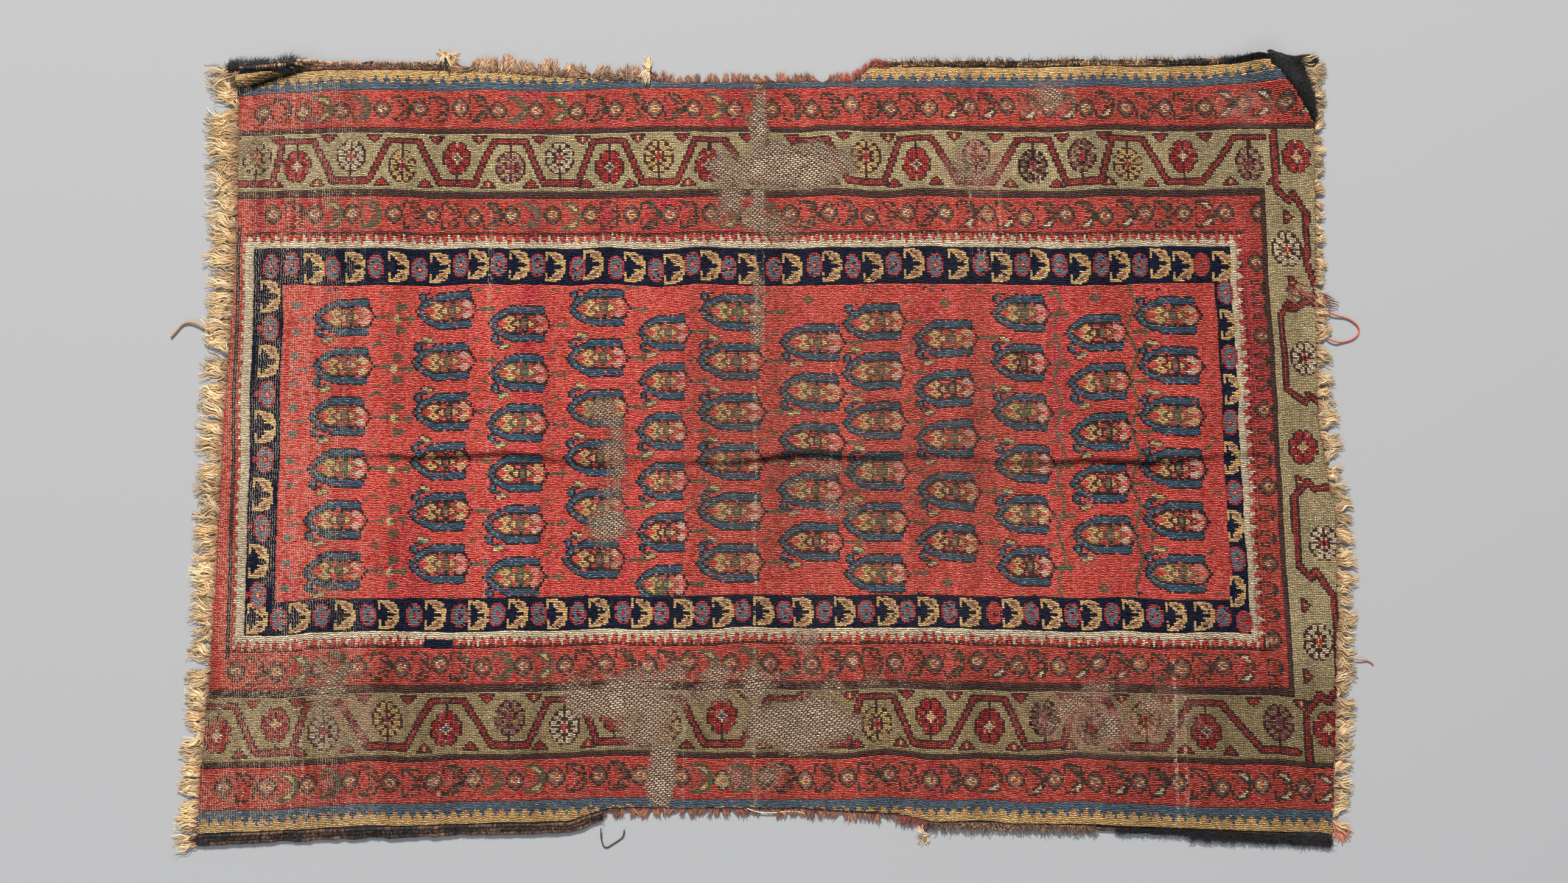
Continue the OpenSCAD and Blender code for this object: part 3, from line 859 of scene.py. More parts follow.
def winding_border(band_row, y, rosettes):
    high_run, low_run = band_row + 5, band_row + 31.5
    points = []
    for x, seat, kind, colours in rosettes:
        if seat == "R":
            break
        run = low_run if seat == "U" else high_run
        points.append((run, column_at(x - RUN_HALF[seat], y)))
        points.append((run, column_at(x + RUN_HALF[seat], y)))
    stroke([(points[0][0], -20)] + points, "V", "U", 2.5, 5.2, only="olive")
    for x, seat, kind, colours in rosettes:
        centre = {"U": band_row + 15, "D": band_row + 22, "R": band_row + 18}[seat]
        stem = {"U": (band_row + 24, band_row + 30), "D": (band_row + 7, band_row + 13)}.get(seat)
        if stem:
            stroke([(stem[0], column_at(x, y)), (stem[1], column_at(x, y))], "U", "U", 1.6, 1.6, "olive")
        rosette(kind, colours, centre, column_at(x, y))
        if seat == "R":
            continue
        for side in (-1, 1):
            row = band_row + 4.5 if seat == "U" else band_row + 32.5
            at = column_at(x + side * SPANDREL_AT, y)
            tint = {"Y": "Y"} if rng.random() < 0.6 else {"Y": "C"}
            stamp(TRIANGLE, row, at, flip_y=seat == "D", swap=tint, only="olive")


winding_border(far_start["olive"], 380, FAR_ROSETTES)
winding_border(near_start["olive"], -391, NEAR_ROSETTES)

# The right end of the olive border winds down the warp ends
VINE_LEFT, VINE_RIGHT = 706, 745
right_vine = [(430, VINE_LEFT), (338, VINE_LEFT), (322, VINE_LEFT + 16), (332, VINE_LEFT + 22),
              (304, VINE_RIGHT), (236, VINE_RIGHT - 3), (205, VINE_RIGHT + 8), (180, 760), (182, 738),
              (172, 722), (182, 716), (164, VINE_LEFT), (62, VINE_LEFT + 2), (44, 730), (54, 736),
              (36, 760), (-68, 764), (-72, 738), (-62, 732), (-82, VINE_LEFT + 6), (-172, VINE_LEFT + 8),
              (-190, 730), (-180, 736), (-212, 758), (-330, 762), (-352, VINE_RIGHT), (-342, 734),
              (-366, VINE_LEFT + 10), (-430, VINE_LEFT + 12)]
stroke([(row_at(y, 700), column_at(x, y)) for y, x in right_vine], "V", "U", 2.5, 5.2, only="olive")
for x, y, kind, colours in [(717, 254, "daisy", "WY"), (736, 104, "daisy", "WD"), (726, -16, "lobed", "CY"),
                            (748, -143, "daisy", "WD"), (734, -272, "daisy", "WY")]:
    rosette(kind, colours, row_at(y, 700), column_at(x, y))
for y in (300, 209, -62, -225, -318):
    stamp(TRIANGLE, row_at(y, 700), column_at(722, y), turn=True, stretch=1.25, only="olive")

# The red of the vine is tied in short dashes
broken = (chart == CODE["V"]) & (zone == ZONE_CODE["olive"])
broken &= np.add.outer(np.arange(ROWS), np.arange(COLUMNS)) % 9 == 0
chart[broken] = CODE["U"]

# --- The field: columns of botehs ------------------------------------------
# Each column: where it starts and ends, the y of its first boteh's middle, and how many there are
BOTEH_COLUMNS = [
    (-604, -532, 163, 6), (-466, -394, 170, 6), (-365, -293, 152, 6), (-258, -187, 174, 6),
    (-162, -104, 141, 6), (-81, -1, 168, 6), (29, 105, 128, 5), (116, 189, 154, 6),
    (212, 286, 131, 5), (316, 385, 166, 6), (418, 492, 141, 5), (512, 591, 162, 6)]
BOTEH_PITCH = 68.0
BOTEH_BARS = 24      # rows of the motif above its tail
STEM = [".....G..", ".....G..", "GGGGGGGG", "GGGGGGG.", ".....G..", ".....G.."]
LEAF_RIGHT = ["GG...", "GGGG.", "GTTGG", "GTGGG", "GGGG.", "GG..."]
LEAF_DASH = ["GG...", ".GG..", "..GG."]
CROSS = [".Y.", "YWY", "YYY", "WYY", "YYW", ".Y."]
SQUARE = ["gggg", "gGgg", "ggGg", "gggg"]
for number, (left, right, first_y, count) in enumerate(BOTEH_COLUMNS):
    width = int(round((right - left) / KNOT_W)) + 5
    for k in range(count):
        y = first_y - BOTEH_PITCH * k
        upright = number % 2 == 1
        tint = {"W": "kWWk"[rng.integers(4)], "T": "TTUG"[rng.integers(4)], "k": "kSkY"[rng.integers(4)]}
        # The first boteh of a hanging column is cut short by the border and has no tail
        cut_short = upright and k == 0
        motif = softened(fitted(BOTEH[:BOTEH_BARS] if cut_short else BOTEH, width), "D", 0.12)
        motif = softened(motif, "T", 0.08)
        middle = row_at(y) + (0 if cut_short else (len(BOTEH) - BOTEH_BARS) / 2 * (-1 if upright else 1))
        stamp(motif, middle, column_at((left + right) / 2 + 1, y), stretch=1.0,
              flip_y=upright, swap=tint, only="field", loss=0.03)
        # A stem with a small cross stands between this boteh and the next column
        if number != 11:
            stamp_at(STEM, right + 22, y, stretch=1, only="field", loss=0.15)
        for side in (-1, 1):
            if rng.random() < 0.75:
                stamp(LEAF_DASH, row_at(y + side * 29), column_at(right + 14 - 4 * side, y), stretch=1,
                      flip_y=side > 0, only="field", loss=0.15)

# Between the first two columns a chain of leaves and crosses climbs the field, and another at the left end
for k in range(6):
    y = 160 - BOTEH_PITCH * k
    for side in (-1, 1):
        stamp(LEAF_RIGHT, row_at(y + 16 * side), column_at(-489, y), stretch=1, only="field", loss=0.06)
        stamp(SQUARE, row_at(y + 17 * side), column_at(-631, y), stretch=1, only="field", loss=0.12)
    stamp_at(CROSS, -495, y, stretch=1, only="field")
    stamp_at(STEM, -480, y, stretch=1, only="field", loss=0.1)
    stamp(LEAF_DASH, row_at(y + 34), column_at(-514, y), stretch=1, only="field", loss=0.1)
    stamp_at(["..g..g", "gggggg", "..g..g"], -624, y, stretch=1, only="field", loss=0.1)

# Green vines wave beside the eleventh column
for side_x in (400, 502):
    for step in range(13):
        y = 196 - 34 * step
        ends = [(row_at(y + 14), column_at(side_x - 5, y)), (row_at(y - 14), column_at(side_x + 5, y))]
        if step % 2:
            ends = [(ends[0][0], ends[1][1]), (ends[1][0], ends[0][1])]
        stroke(ends, "G", "G", 1.9, 1.9, only="field")
        stamp_at(["GGG"], side_x - 11, y, only="field")
for x, y in [(455, 188), (62, 186), (250, 180), (455, -200), (248, -196), (66, -214), (-134, -206)]:
    stamp_at(["..G..", ".GGG.", "GG.GG", ".GGG.", "..G.."], x, y, only="field")
for k in range(34):
    x = rng.uniform(-640, 610)
    y = (200, -212)[k % 2] + rng.uniform(-4, 4)
    stamp_at([("GG", "G."), ("gG", ".G"), ("DD", "D.")][k % 3], x, y, only="field")

# ---------------------------------------------------------------------------
# Colours of the knots: dye lots, worn places, mending, and painted shade and shadow along the old fold, the
# ruck and the curled corner
# ---------------------------------------------------------------------------
corner_x, corner_y = knot_places(np.arange(ROWS + 1), np.arange(COLUMNS + 1))
middle_x = (corner_x[:-1, :-1] + corner_x[1:, 1:]) / 2
middle_y = (corner_y[:-1, :-1] + corner_y[1:, 1:]) / 2

def knot_noise(size, seed):
    return smooth_noise(middle_x, middle_y, size, seed)


def darken(share):
    """Takes a share of its lightness from each knot."""
    np.multiply(srgb, (1 - share)[..., None], out=srgb)


def blend_in(colour, share):
    """Mixes a colour into each knot by its share."""
    srgb[...] = srgb * (1 - share[..., None]) + colour * share[..., None]


curl_along = (CURL_END - CURL_START) / np.linalg.norm(CURL_END - CURL_START)
curl_across = np.array([-curl_along[1], curl_along[0]])


def curl_distance(x, y):
    """How far past the fold of the curled corner a place is; negative on the flat side."""
    return (x - CURL_START[0]) * curl_across[0] + (y - CURL_START[1]) * curl_across[1]


def old_fold(x, middle):
    """The fold across the field: its y around a middle, where it is, and how strong it is."""
    y = middle + 5 * np.sin(x / 90) + 3 * np.sin(x / 31)
    return y, ramp(x, -590, 60) * ramp(-x, -720, 60), 0.65 + 0.35 * np.sin(x / 70 + 1)


def ruck_line(x):
    """The y of the foot of the ruck in the far left corner."""
    return 480 + 0.30 * (x + 742)


CREST = -8.0
THIN_BROWN = np.array([120, 88, 68])
CREAM_WEFT = np.array([222, 196, 160])
PINK_WEFT = np.array([204, 136, 116])
# The near-black of the painted shadow past the crest of the curled corner
CURL_SHADOW_BLACK = np.array([25, 20, 21])
# Worn places, as x, y, half length, half width and how far they are worn, 1 being down to the web
WORN = [
    (-4, 420, 11, 76, 0.95), (-4, 318, 12, 40, 0.75), (-4, 180, 10, 60, 0.5),
    (34, 372, 74, 30, 1.15), (-44, 352, 26, 56, 0.7), (20, 290, 60, 16, 0.45),
    (-190, -352, 56, 18, 0.95), (-146, -380, 34, 24, 0.66), (58, -378, 62, 32, 0.85),
    (-128, -446, 16, 36, 1.0), (0, -450, 40, 20, 0.5),
    (-30, -330, 190, 20, 0.5), (-208, 29, 22, 22, 0.75), (-205, -123, 24, 22, 0.85),
    (-200, -52, 20, 120, 0.4), (60, -270, 20, 20, 0.4), (92, -30, 40, 70, 0.25), (294, 372, 34, 26, 0.5),
    (-700, 380, 30, 40, 0.4), (390, 470, 30, 20, 0.55), (-640, -350, 60, 60, 0.12),
    (460, -372, 84, 38, 0.42), (-552, -370, 36, 40, 0.36)]
# Runs of bare cream wefts, as x, lowest y, highest y and their share of the knots
BARE_WEFTS = [
    (-648, 120, 520, 0.35), (-636, -500, 520, 0.3), (-611, 200, 520, 0.3), (-372, 160, 330, 0.45),
    (-368, -260, 300, 0.25), (286, 220, 430, 0.4), (296, 215, 300, 0.5), (303, 225, 300, 0.6),
    (312, 225, 300, 0.45), (326, 225, 380, 0.35), (335, 200, 300, 0.25), (-8, -520, 520, 0.4),
    (2, 100, 500, 0.4), (-388, -330, -120, 0.3), (544, -520, -300, 0.5), (556, -520, -340, 0.4),
    (-600, -520, -380, 0.4), (-676, -500, -250, 0.35), (92, -240, 150, 0.25), (-206, -190, 60, 0.3),
    (-420, -520, -330, 0.25), (-100, -520, -330, 0.35), (-560, 260, 500, 0.15), (430, 430, 510, 0.3)]

wear = np.zeros((ROWS, COLUMNS))
for x, y, half_x, half_y, depth in WORN:
    far_out = np.hypot((middle_x - x) / half_x, (middle_y - y) / half_y)
    wear = np.maximum(wear, depth * np.clip(1.6 - far_out, 0, 1))
wear += 0.28 * knot_noise(26, 3) * (wear > 0.02)
wear += 0.10 * knot_noise(9, 4)
grain = rng.random((ROWS, COLUMNS))
bare = wear + 0.20 * (grain - 0.5) > 1.0

srgb = np.array(list(PALETTE.values()), float)[chart]
# Each column of knots follows one length of dyed wool, so the reds and blues shift from side to side
abrash = 0.075 * line_noise(middle_x, 22, 5) + 0.045 * smooth_noise(middle_x, middle_y / 6, 7, 6)
abrash += 0.045 * knot_noise(60, 7)
srgb *= (1 + abrash)[..., None]
is_red = np.isin(chart, [CODE[letter] for letter in "RK"])
cherry = np.clip(smooth_noise(middle_x, middle_y / 8, 34, 8) * 1.6 - 0.45, 0, 1) * is_red
srgb += cherry[..., None] * np.array([-18, -22, 2])
# The knots are darker towards the right end and towards the near side, and the olive near the near edge turns
# redder
darken(0.07 * ramp(middle_x, 300, 200))
darken(0.10 * ramp(-middle_y, 270, 60))
near_olive = (chart == CODE["O"]) * ramp(-middle_y, 320, 30)
srgb *= 1 - near_olive[..., None] * np.array([0.05, 0.09, 0.12])
srgb *= (1 + rng.normal(0, 0.06, (ROWS, COLUMNS)))[..., None]
srgb += rng.normal(0, 4.0, srgb.shape)
# Where the pile is thin, the brown of the web dulls it; the dashes of the web are drawn by the material
thin = np.clip(wear * 1.1 - 0.15, 0, 0.6)
# The middle of the field is trodden thinner than its ends
trodden = ramp(middle_x, -190, 140) * ramp(-middle_x, -470, 160)
trodden *= (np.clip(1.25 - np.abs(middle_y + 20) / 260, 0, 1)
            * (0.75 + 0.25 * knot_noise(34, 14)))
trodden = np.clip(trodden, 0, 1)
thin = np.clip(thin + 0.36 * trodden, 0, 0.7)
blend_in(THIN_BROWN, thin)
# Painted shade along the old fold: the knots at the foot of its near slope are darkened as if in shadow
fold_middle, fold_reach, fold_strength = old_fold(middle_x, -33)
fold_painted_shade = fold_reach * (fold_strength * np.exp(-((middle_y - fold_middle) / 4.5) ** 2))
darken(0.36 * fold_painted_shade)
# Painted shadow along the foot of the ruck in the far left corner
ruck_painted_shadow = ramp(-middle_x, 625, 40) * np.exp(-((middle_y - 480 - 0.30 * (middle_x + 742)) / 5) ** 2)
darken(0.8 * ruck_painted_shadow)
# Bare wefts show as thin cream lines between the columns, most of all at the left end
weft_show = 0.95 * ramp(-corner_x, 500, 110) + 0.07
weft_show += 0.35 * ramp(-corner_y, 260, 150) * ramp(-corner_x, 420, 150)
weft_show *= np.clip(0.75 + smooth_noise(corner_x, corner_y / 5, 9, 13), 0, 1.5)
for x, low, high, share in BARE_WEFTS:
    along = ramp(corner_y, low, 20) * ramp(-corner_y, -high, 20)
    weft_show += 1.5 * share * along * np.exp(-((corner_x - x) / 2.2) ** 2)
    line = (np.abs(middle_x - x) < KNOT_W / 2) & (middle_y > low) & (middle_y < high)
    line &= rng.random((ROWS, COLUMNS)) < 0.5 * share * (1 + knot_noise(30, 11))
    srgb[line] = srgb[line] * 0.35 + CREAM_WEFT * 0.65
corner_wear = np.zeros(corner_x.shape)
# The near left quarter is thin all over
thin_quarter = ramp(-middle_y, 262, 30) * ramp(-middle_x, -60, 120)
thin_quarter *= 0.75 + 0.5 * knot_noise(40, 16)
corner_wear[:-1, :-1] = np.clip(wear + 0.20 * trodden + 0.24 * thin_quarter, 0, 1)
weft_show = np.clip(weft_show, 0, 1)
# Around some worn places the pink wefts show
pink_places = [(465, -372, 105, 44), (-552, -370, 38, 42), (300, 372, 44, 34), (395, 468, 40, 22),
               (670, 455, 40, 24)]
for x, y, half_x, half_y in pink_places:
    share = np.clip(1.5 - np.hypot((middle_x - x) / half_x, (middle_y - y) / half_y), 0, 1) * 0.6
    share *= np.clip(0.5 + knot_noise(12, 12), 0, 1)
    blend_in(PINK_WEFT, share)
# Painted shadow: past the crest of the curled corner the knots are coloured near-black, standing in for the
# shade on the corner's outer slope
shadowed_past_crest = curl_distance(middle_x, middle_y) + 3 * knot_noise(5, 15) > CREST
srgb[shadowed_past_crest] = CURL_SHADOW_BLACK * rng.uniform(0.7, 1.5, (int(shadowed_past_crest.sum()), 1))
knot_colour = linear(np.clip(srgb, 4, 250))


# ---------------------------------------------------------------------------
# How the web lies: ripples, an old fold line, a raised corner and a curled one
# ---------------------------------------------------------------------------
RUCK_END = -600


def lift(x, y):
    """How far the web stands off the ground, in millimetres."""
    x, y = np.asarray(x, float), np.asarray(y, float)
    ripple = 1.5 + 1.1 * np.sin(x / 47 + 0.9 * np.sin(y / 120)) * np.sin(y / 140 + 0.6)
    ripple += 1.0 * np.sin(y / 38 + 1.4 * np.sin(x / 210)) + 0.8 * smooth_noise(x, y, 55, 21)
    ripple += 1.6 * np.sin(x / 33 + 0.4) * ramp(y, 300, 200)
    ripple = np.clip(ripple, 0, 6)
    fold_y, along, strength = old_fold(x, -29)
    reach = np.where(y > fold_y, 19.0, 5.5)
    fold = 6.5 * along * strength * np.exp(-((y - fold_y) / reach) ** 2)
    second_y = 44 + 6 * np.sin(x / 75)
    fold += 2.6 * ramp(x, 100, 80) * np.exp(-((y - second_y) / 13) ** 2)
    # The far left corner is rucked up along a line that runs in from the end
    from_ruck = y - ruck_line(x)
    hump = 9.5 * np.clip(from_ruck / 4, 0, 1) * np.exp(-((from_ruck - 6) / 17) ** 2)
    hump *= ramp(-x, -RUCK_END, 40)
    hump += 5 * np.exp(-(((x + 500) / 60) ** 2 + ((y - 500) / 15) ** 2))
    # The far right corner curls: it rises to a crest along a line across the corner, then falls to the ground
    past = curl_distance(x, y) - CREST
    down_crest = (x - CURL_START[0]) * curl_along[0] + (y - CURL_START[1]) * curl_along[1]
    curl = 23 * np.exp(-(past / np.where(past < 0, 21, 25)) ** 2) * ramp(-down_crest, -125, 70)
    return ripple * np.clip(1 - curl / 30, 0, 1) + fold + hump + curl


# ---------------------------------------------------------------------------
# Meshes
# ---------------------------------------------------------------------------
def clamp_to_web(x, y):
    """Moves places outside the knotted web onto its edge."""
    far, near = far_edge(x), near_edge(x)
    y = np.clip(y, near + 0.4 * smooth_noise(x, y, 8, 31), far + 0.4 * smooth_noise(x, y, 8, 32))
    left = lookup(LEFT_END, y) + 2.2 * smooth_noise(0 * x, y, 6, 33)
    right = lookup(RIGHT_END, y) + 2.2 * smooth_noise(0 * x, y, 6, 34)
    return np.clip(x, left, right), y


# The four walls of a knot: which neighbour is missing, and the two corners between which the wall stands
WIDE = COLUMNS + 1
TOTAL = (ROWS + 1) * WIDE
WALLS = [(0, 1, 0, 1), (2, 1, WIDE + 1, WIDE), (1, 0, WIDE, 0), (1, 2, 1, WIDE + 1)]


def knit_patch(name, mask, places, under, colours, wall_shade=0.55, back=None):
    """A patch of knots as one skin, with walls wherever the patch ends, and a back where colours are given.

    places and under are the corners at its top and bottom; mask says which knots there are.
    """
    rows, columns = np.nonzero(mask)
    corner = rows * WIDE + columns
    quads = [np.stack([corner + WIDE, corner + WIDE + 1, corner + 1, corner], 1)]
    tones = [colours[rows, columns]]
    if back is not None:
        quads.append(quads[0][:, ::-1] + TOTAL)
        tones.append(back[rows, columns])
    padded = np.pad(mask, 1)
    for row_shift, column_shift, a, b in WALLS:
        open_side = ~padded[rows + row_shift, columns + column_shift]
        first, second = corner[open_side] + a, corner[open_side] + b
        quads.append(np.stack([first, second, second + TOTAL, first + TOTAL], 1))
        # Painted shade: each wall takes its knot's colour darkened by wall_shade
        tones.append(colours[rows, columns][open_side] * wall_shade)
    used, quads = np.unique(np.concatenate(quads), return_inverse=True)
    both = np.concatenate([places.reshape(-1, 3), under.reshape(-1, 3)])
    piece = build_mesh(name, both[used], quads.reshape(-1, 4))
    add_colours(piece, "knot_colour", np.repeat(np.concatenate(tones), 4, axis=0), "CORNER")
    add_places(piece, "knot", np.tile(knots.reshape(-1, 3), (2, 1))[used])
    if back is None:
        add_share(piece, "worn", np.tile(corner_wear.ravel(), 2)[used])
    return piece


def chart_place(s, place, size, reach):
    """Where a point lies in the chart, wandering a little: along, across and its share of bare weft."""
    knot = s.attribute("knot", "Vector")
    wander = s.vector("ADD", s.noise(place, size, 2, output="Color"), (-0.5, -0.5, -0.5))
    return s.parts(s.vector("ADD", knot, s.vector("MULTIPLY", wander, reach)))


def pile_material(name, depth, roughness, bead_depth):
    """Knotted wool: each row of knots is a wavy ridge, and each knot a small bead in it; its colour is
    painted darker in the valleys as shade, and lighter and paler on the ridge tops as highlight.
    """
    s = Shader(name, roughness, 0.0)
    place = s.object_place()
    x, y, bare_weft = chart_place(s, place, 170, (1.2, 1.3, 0))
    wave = s.times(s.maths("SINE", s.times(x, 2 * math.pi)), 0.12)
    y = s.plus(y, wave)
    along = s.maths("ABSOLUTE", s.minus(s.times(s.maths("FRACT", x), 2.0), 1.0))
    ridge = s.maths("COSINE", s.times(s.minus(y, 0.5), 2 * math.pi))
    ridge = s.remap(ridge, -1.0, 0.8, 0.0, 1.0)
    bead = s.minus(1.0, s.maths("POWER", along, 2.5))
    fibre = s.noise(place, 1500, 3, 0.7)
    tuft = s.noise(s.vector("MULTIPLY", place, (0.55, 1.0, 1.0)), 330, 2, 0.6)
    height = s.times(ridge, s.plus(s.times(bead, bead_depth), 1.03 - bead_depth))
    height = s.plus(height, s.times(s.minus(fibre, 0.5), 0.35))
    height = s.times(height, s.remap(tuft, 0.34, 0.66, 0.55, 1.25))
    tone = s.attribute("knot_colour")
    # Painted shade and highlight: the colour darkens towards the valleys between the ridges and grows lighter
    # and paler towards their tops
    colour = s.tinted(tone, s.remap(height, 0.35, 1.05, 1.0, 0.81), s.remap(height, 0.04, 1.05, 0.16, 1.62))
    weft_line = s.times(s.remap(along, 0.62, 0.9, 0.0, 1.0), s.remap(bare_weft, 0.1, 0.9, 0.0, 0.9))
    weft_line = s.times(weft_line, s.remap(tuft, 0.40, 0.56, 0.1, 1.0), clamp=True)
    colour = s.mix(weft_line, colour, (0.66, 0.50, 0.33, 1))
    worn = s.attribute("worn", "Fac")
    dashes = web_dashes(s, x, y)
    threadbare = s.mix(dashes, (0.060, 0.030, 0.018, 1), CREAM_WARP)
    patchy = s.plus(worn, s.times(s.minus(tuft, 0.5), 1.1))
    colour = s.mix(s.remap(patchy, 0.34, 0.72, 0.0, 0.85), colour, threadbare)
    s.gloss(s.remap(height, 0.35, 1.0, 0.0, 0.22))
    s.bump(height, 0.0016 * depth, 1.0)
    return s.finish(colour, s.remap(fibre, 0.3, 0.7, roughness - 0.1, roughness + 0.1))


def web_material(name):
    """Bare foundation: brown wool with slanting dashes of cream warps between the wefts."""
    s = Shader(name, 0.92, 0.0)
    place = s.object_place()
    x, y, bare_weft = chart_place(s, place, 200, (0.6, 0.45, 0))
    dashes = web_dashes(s, x, y)
    fibre = s.noise(place, 1400, 3, 0.7)
    colour = s.mix(dashes, s.vector("SCALE", s.attribute("knot_colour"), s.remap(fibre, 0.3, 0.7, 0.2, 0.5)),
                   CREAM_WARP)
    colour = s.vector("SCALE", colour, s.remap(fibre, 0.3, 0.7, 0.75, 1.25))
    s.gloss(s.remap(dashes, 0.3, 1.0, 0.0, 0.2))
    s.bump(s.plus(dashes, s.times(fibre, 0.4)), 0.0009, 0.9)
    return s.finish(colour, s.remap(fibre, 0.3, 0.7, 0.8, 0.97))


# ---------------------------------------------------------------------------
# The pile, band by band, and the web under it
# ---------------------------------------------------------------------------
sway_x = 1.6 * smooth_noise(corner_x, corner_y, 46, 41) + 0.35 * rng.normal(0, 1, corner_x.shape)
sway_y = 2.8 * smooth_noise(corner_x, corner_y * 0.4, 62, 42) + 0.7 * smooth_noise(corner_x, corner_y, 17, 45)
sway_y -= 8 * np.exp(-((corner_x + 745) / 70) ** 2) * ramp(corner_y, 400, 60)
sway_y += 0.20 * rng.normal(0, 1, corner_x.shape)
web_x, web_y = clamp_to_web(corner_x + sway_x, corner_y + sway_y)
web_lift = lift(web_x, web_y)
inside = (middle_x > lookup(LEFT_END, middle_y) - 1) & (middle_x < lookup(RIGHT_END, middle_y) + 1)
inside &= (middle_y < far_edge(middle_x) + 0.4) & (middle_y > near_edge(middle_x) - 0.4)
stretch_x = web_x[:-1, 1:] - web_x[:-1, :-1]
stretch_y = web_y[:-1, :-1] - web_y[1:, :-1]
inside &= (stretch_x > 0.5) & (stretch_y > 0.5)

pile_height = PILE_H * (0.96 - 0.70 * corner_wear) + 0.22 * smooth_noise(corner_x, corner_y, 5, 43)
pile_height += 0.10 * rng.normal(0, 1, corner_x.shape)
corroded = np.isin(chart, [CODE[letter] for letter in "UDT"])
low = np.zeros(corner_x.shape)
low[:-1, :-1] = corroded
pile_height -= 0.45 * low
row_number, column_number = np.meshgrid(np.arange(ROWS + 1.0), np.arange(COLUMNS + 1.0), indexing="ij")
knots = np.stack([column_number, row_number, weft_show], 2)
web_top = np.stack([web_x, web_y, web_lift + FOUNDATION_T], 2)
pile_top = np.stack([web_x, web_y, web_lift + FOUNDATION_T + np.clip(pile_height, 0.35, 3.2)], 2)
pile_foot = web_top - np.array([0, 0, 0.6])

# Each band of pile: the start of its name, its zone, its slot, and the sides where it is a piece of its own
ALL_ROUND = ("",)
LONG_SIDES = ("_far", "_near")
PILE_BANDS = [
    ("pile_field", "field", "coral_red_pile", ALL_ROUND),
    ("pile_navy_border", "navy", "navy_pile", ALL_ROUND),
    ("pile_ivory_line", "ivory", "ivory_pile", ALL_ROUND),
    ("pile_toothed_guard", "teeth", "toothed_pile", ALL_ROUND),
    ("pile_inner_red_border", "inner_red", "brick_red_pile", ALL_ROUND),
    ("pile_inner_dark_line", "inner_dark", "dark_brown_pile", ALL_ROUND),
    ("pile_olive_border", "olive", "olive_pile", ALL_ROUND),
    ("pile_outer_dark_line", "outer_dark", "dark_brown_pile", LONG_SIDES),
    ("pile_outer_red", "outer_red", "brick_red_pile", LONG_SIDES),
    ("pile_blue_guard", "blue", "blue_pile", LONG_SIDES),
    ("pile_gold_guard", "gold", "gold_pile", ("_far_left", "_far_right", "_near_left", "_near_right"))]
for slot in dict.fromkeys(band[2] for band in PILE_BANDS):
    low_pile = slot == "dark_brown_pile"
    MATERIALS[slot] = pile_material(slot, depth=0.75 if low_pile else 1.0,
                                    roughness=0.92 if low_pile else 0.84,
                                    bead_depth=0.6 if slot == "olive_pile" else 0.25)


def lay(piece, slot, nodes=()):
    """Finishes a piece: gives it its slot's material, attaches it to the root body and hides the CAD nodes it
    replaces.
    """
    finish_piece(piece, slot, nodes)


for band_name, zone_name, slot, sides in PILE_BANDS:
    for side in sides:
        mask = inside & ~bare & (zone == ZONE_CODE[zone_name])
        if side:
            mask &= (middle_y > 0) == side.startswith("_far")
        if side.endswith("_left"):
            mask &= middle_x < 0
        if side.endswith("_right"):
            mask &= middle_x >= 0
        name = band_name + side
        lay(knit_patch(name + "_wool", mask, pile_top, pile_foot, knot_colour), slot, [name])

# The web: a closed sheet whose back shows the pattern knot by knot, without pile
web_bottom = np.stack([web_x, web_y, web_lift], 2)
web_brown = linear((118, 92, 74)) * (1 + 0.25 * knot_noise(14, 51))[..., None]
web_brown = web_brown * 0.8 + knot_colour * 0.2
back = knot_colour * 0.8 + linear((120, 100, 84)) * 0.2
web = knit_patch("knotted_web", inside, web_top, web_bottom, web_brown, wall_shade=1.0, back=back)
MATERIALS["ground_weave"] = web_material("ground_weave")
finish_piece(web, "ground_weave", ["foundation", "curled_corner"])

# ---------------------------------------------------------------------------
# Strands: fringes, frayed wefts, hair and cut ends
# ---------------------------------------------------------------------------
GOLD_CREAM = [(236, 202, 150), (246, 220, 176), (224, 184, 128), (240, 208, 160), (208, 166, 112)]
BROWN_WOOL = [(104, 72, 58), (126, 88, 70), (84, 58, 48), (140, 100, 80), (112, 66, 54)]
TAN_WOOL = [(170, 130, 92), (190, 150, 108), (150, 112, 80), (128, 92, 68), (204, 168, 124)]
BLACK_HAIR = [(30, 26, 28), (40, 34, 34), (24, 22, 26), (54, 44, 40)]
RED_WOOL = [(172, 70, 54), (190, 92, 70), (150, 54, 44), (200, 110, 84)]
PINK_WOOL = [(216, 112, 92), (226, 134, 112), (200, 92, 76), (190, 150, 100)]


def picked_tones(colours, count):
    tones = linear(np.array(colours)[rng.integers(0, len(colours), count)])
    return tones * rng.uniform(0.82, 1.18, (count, 1))


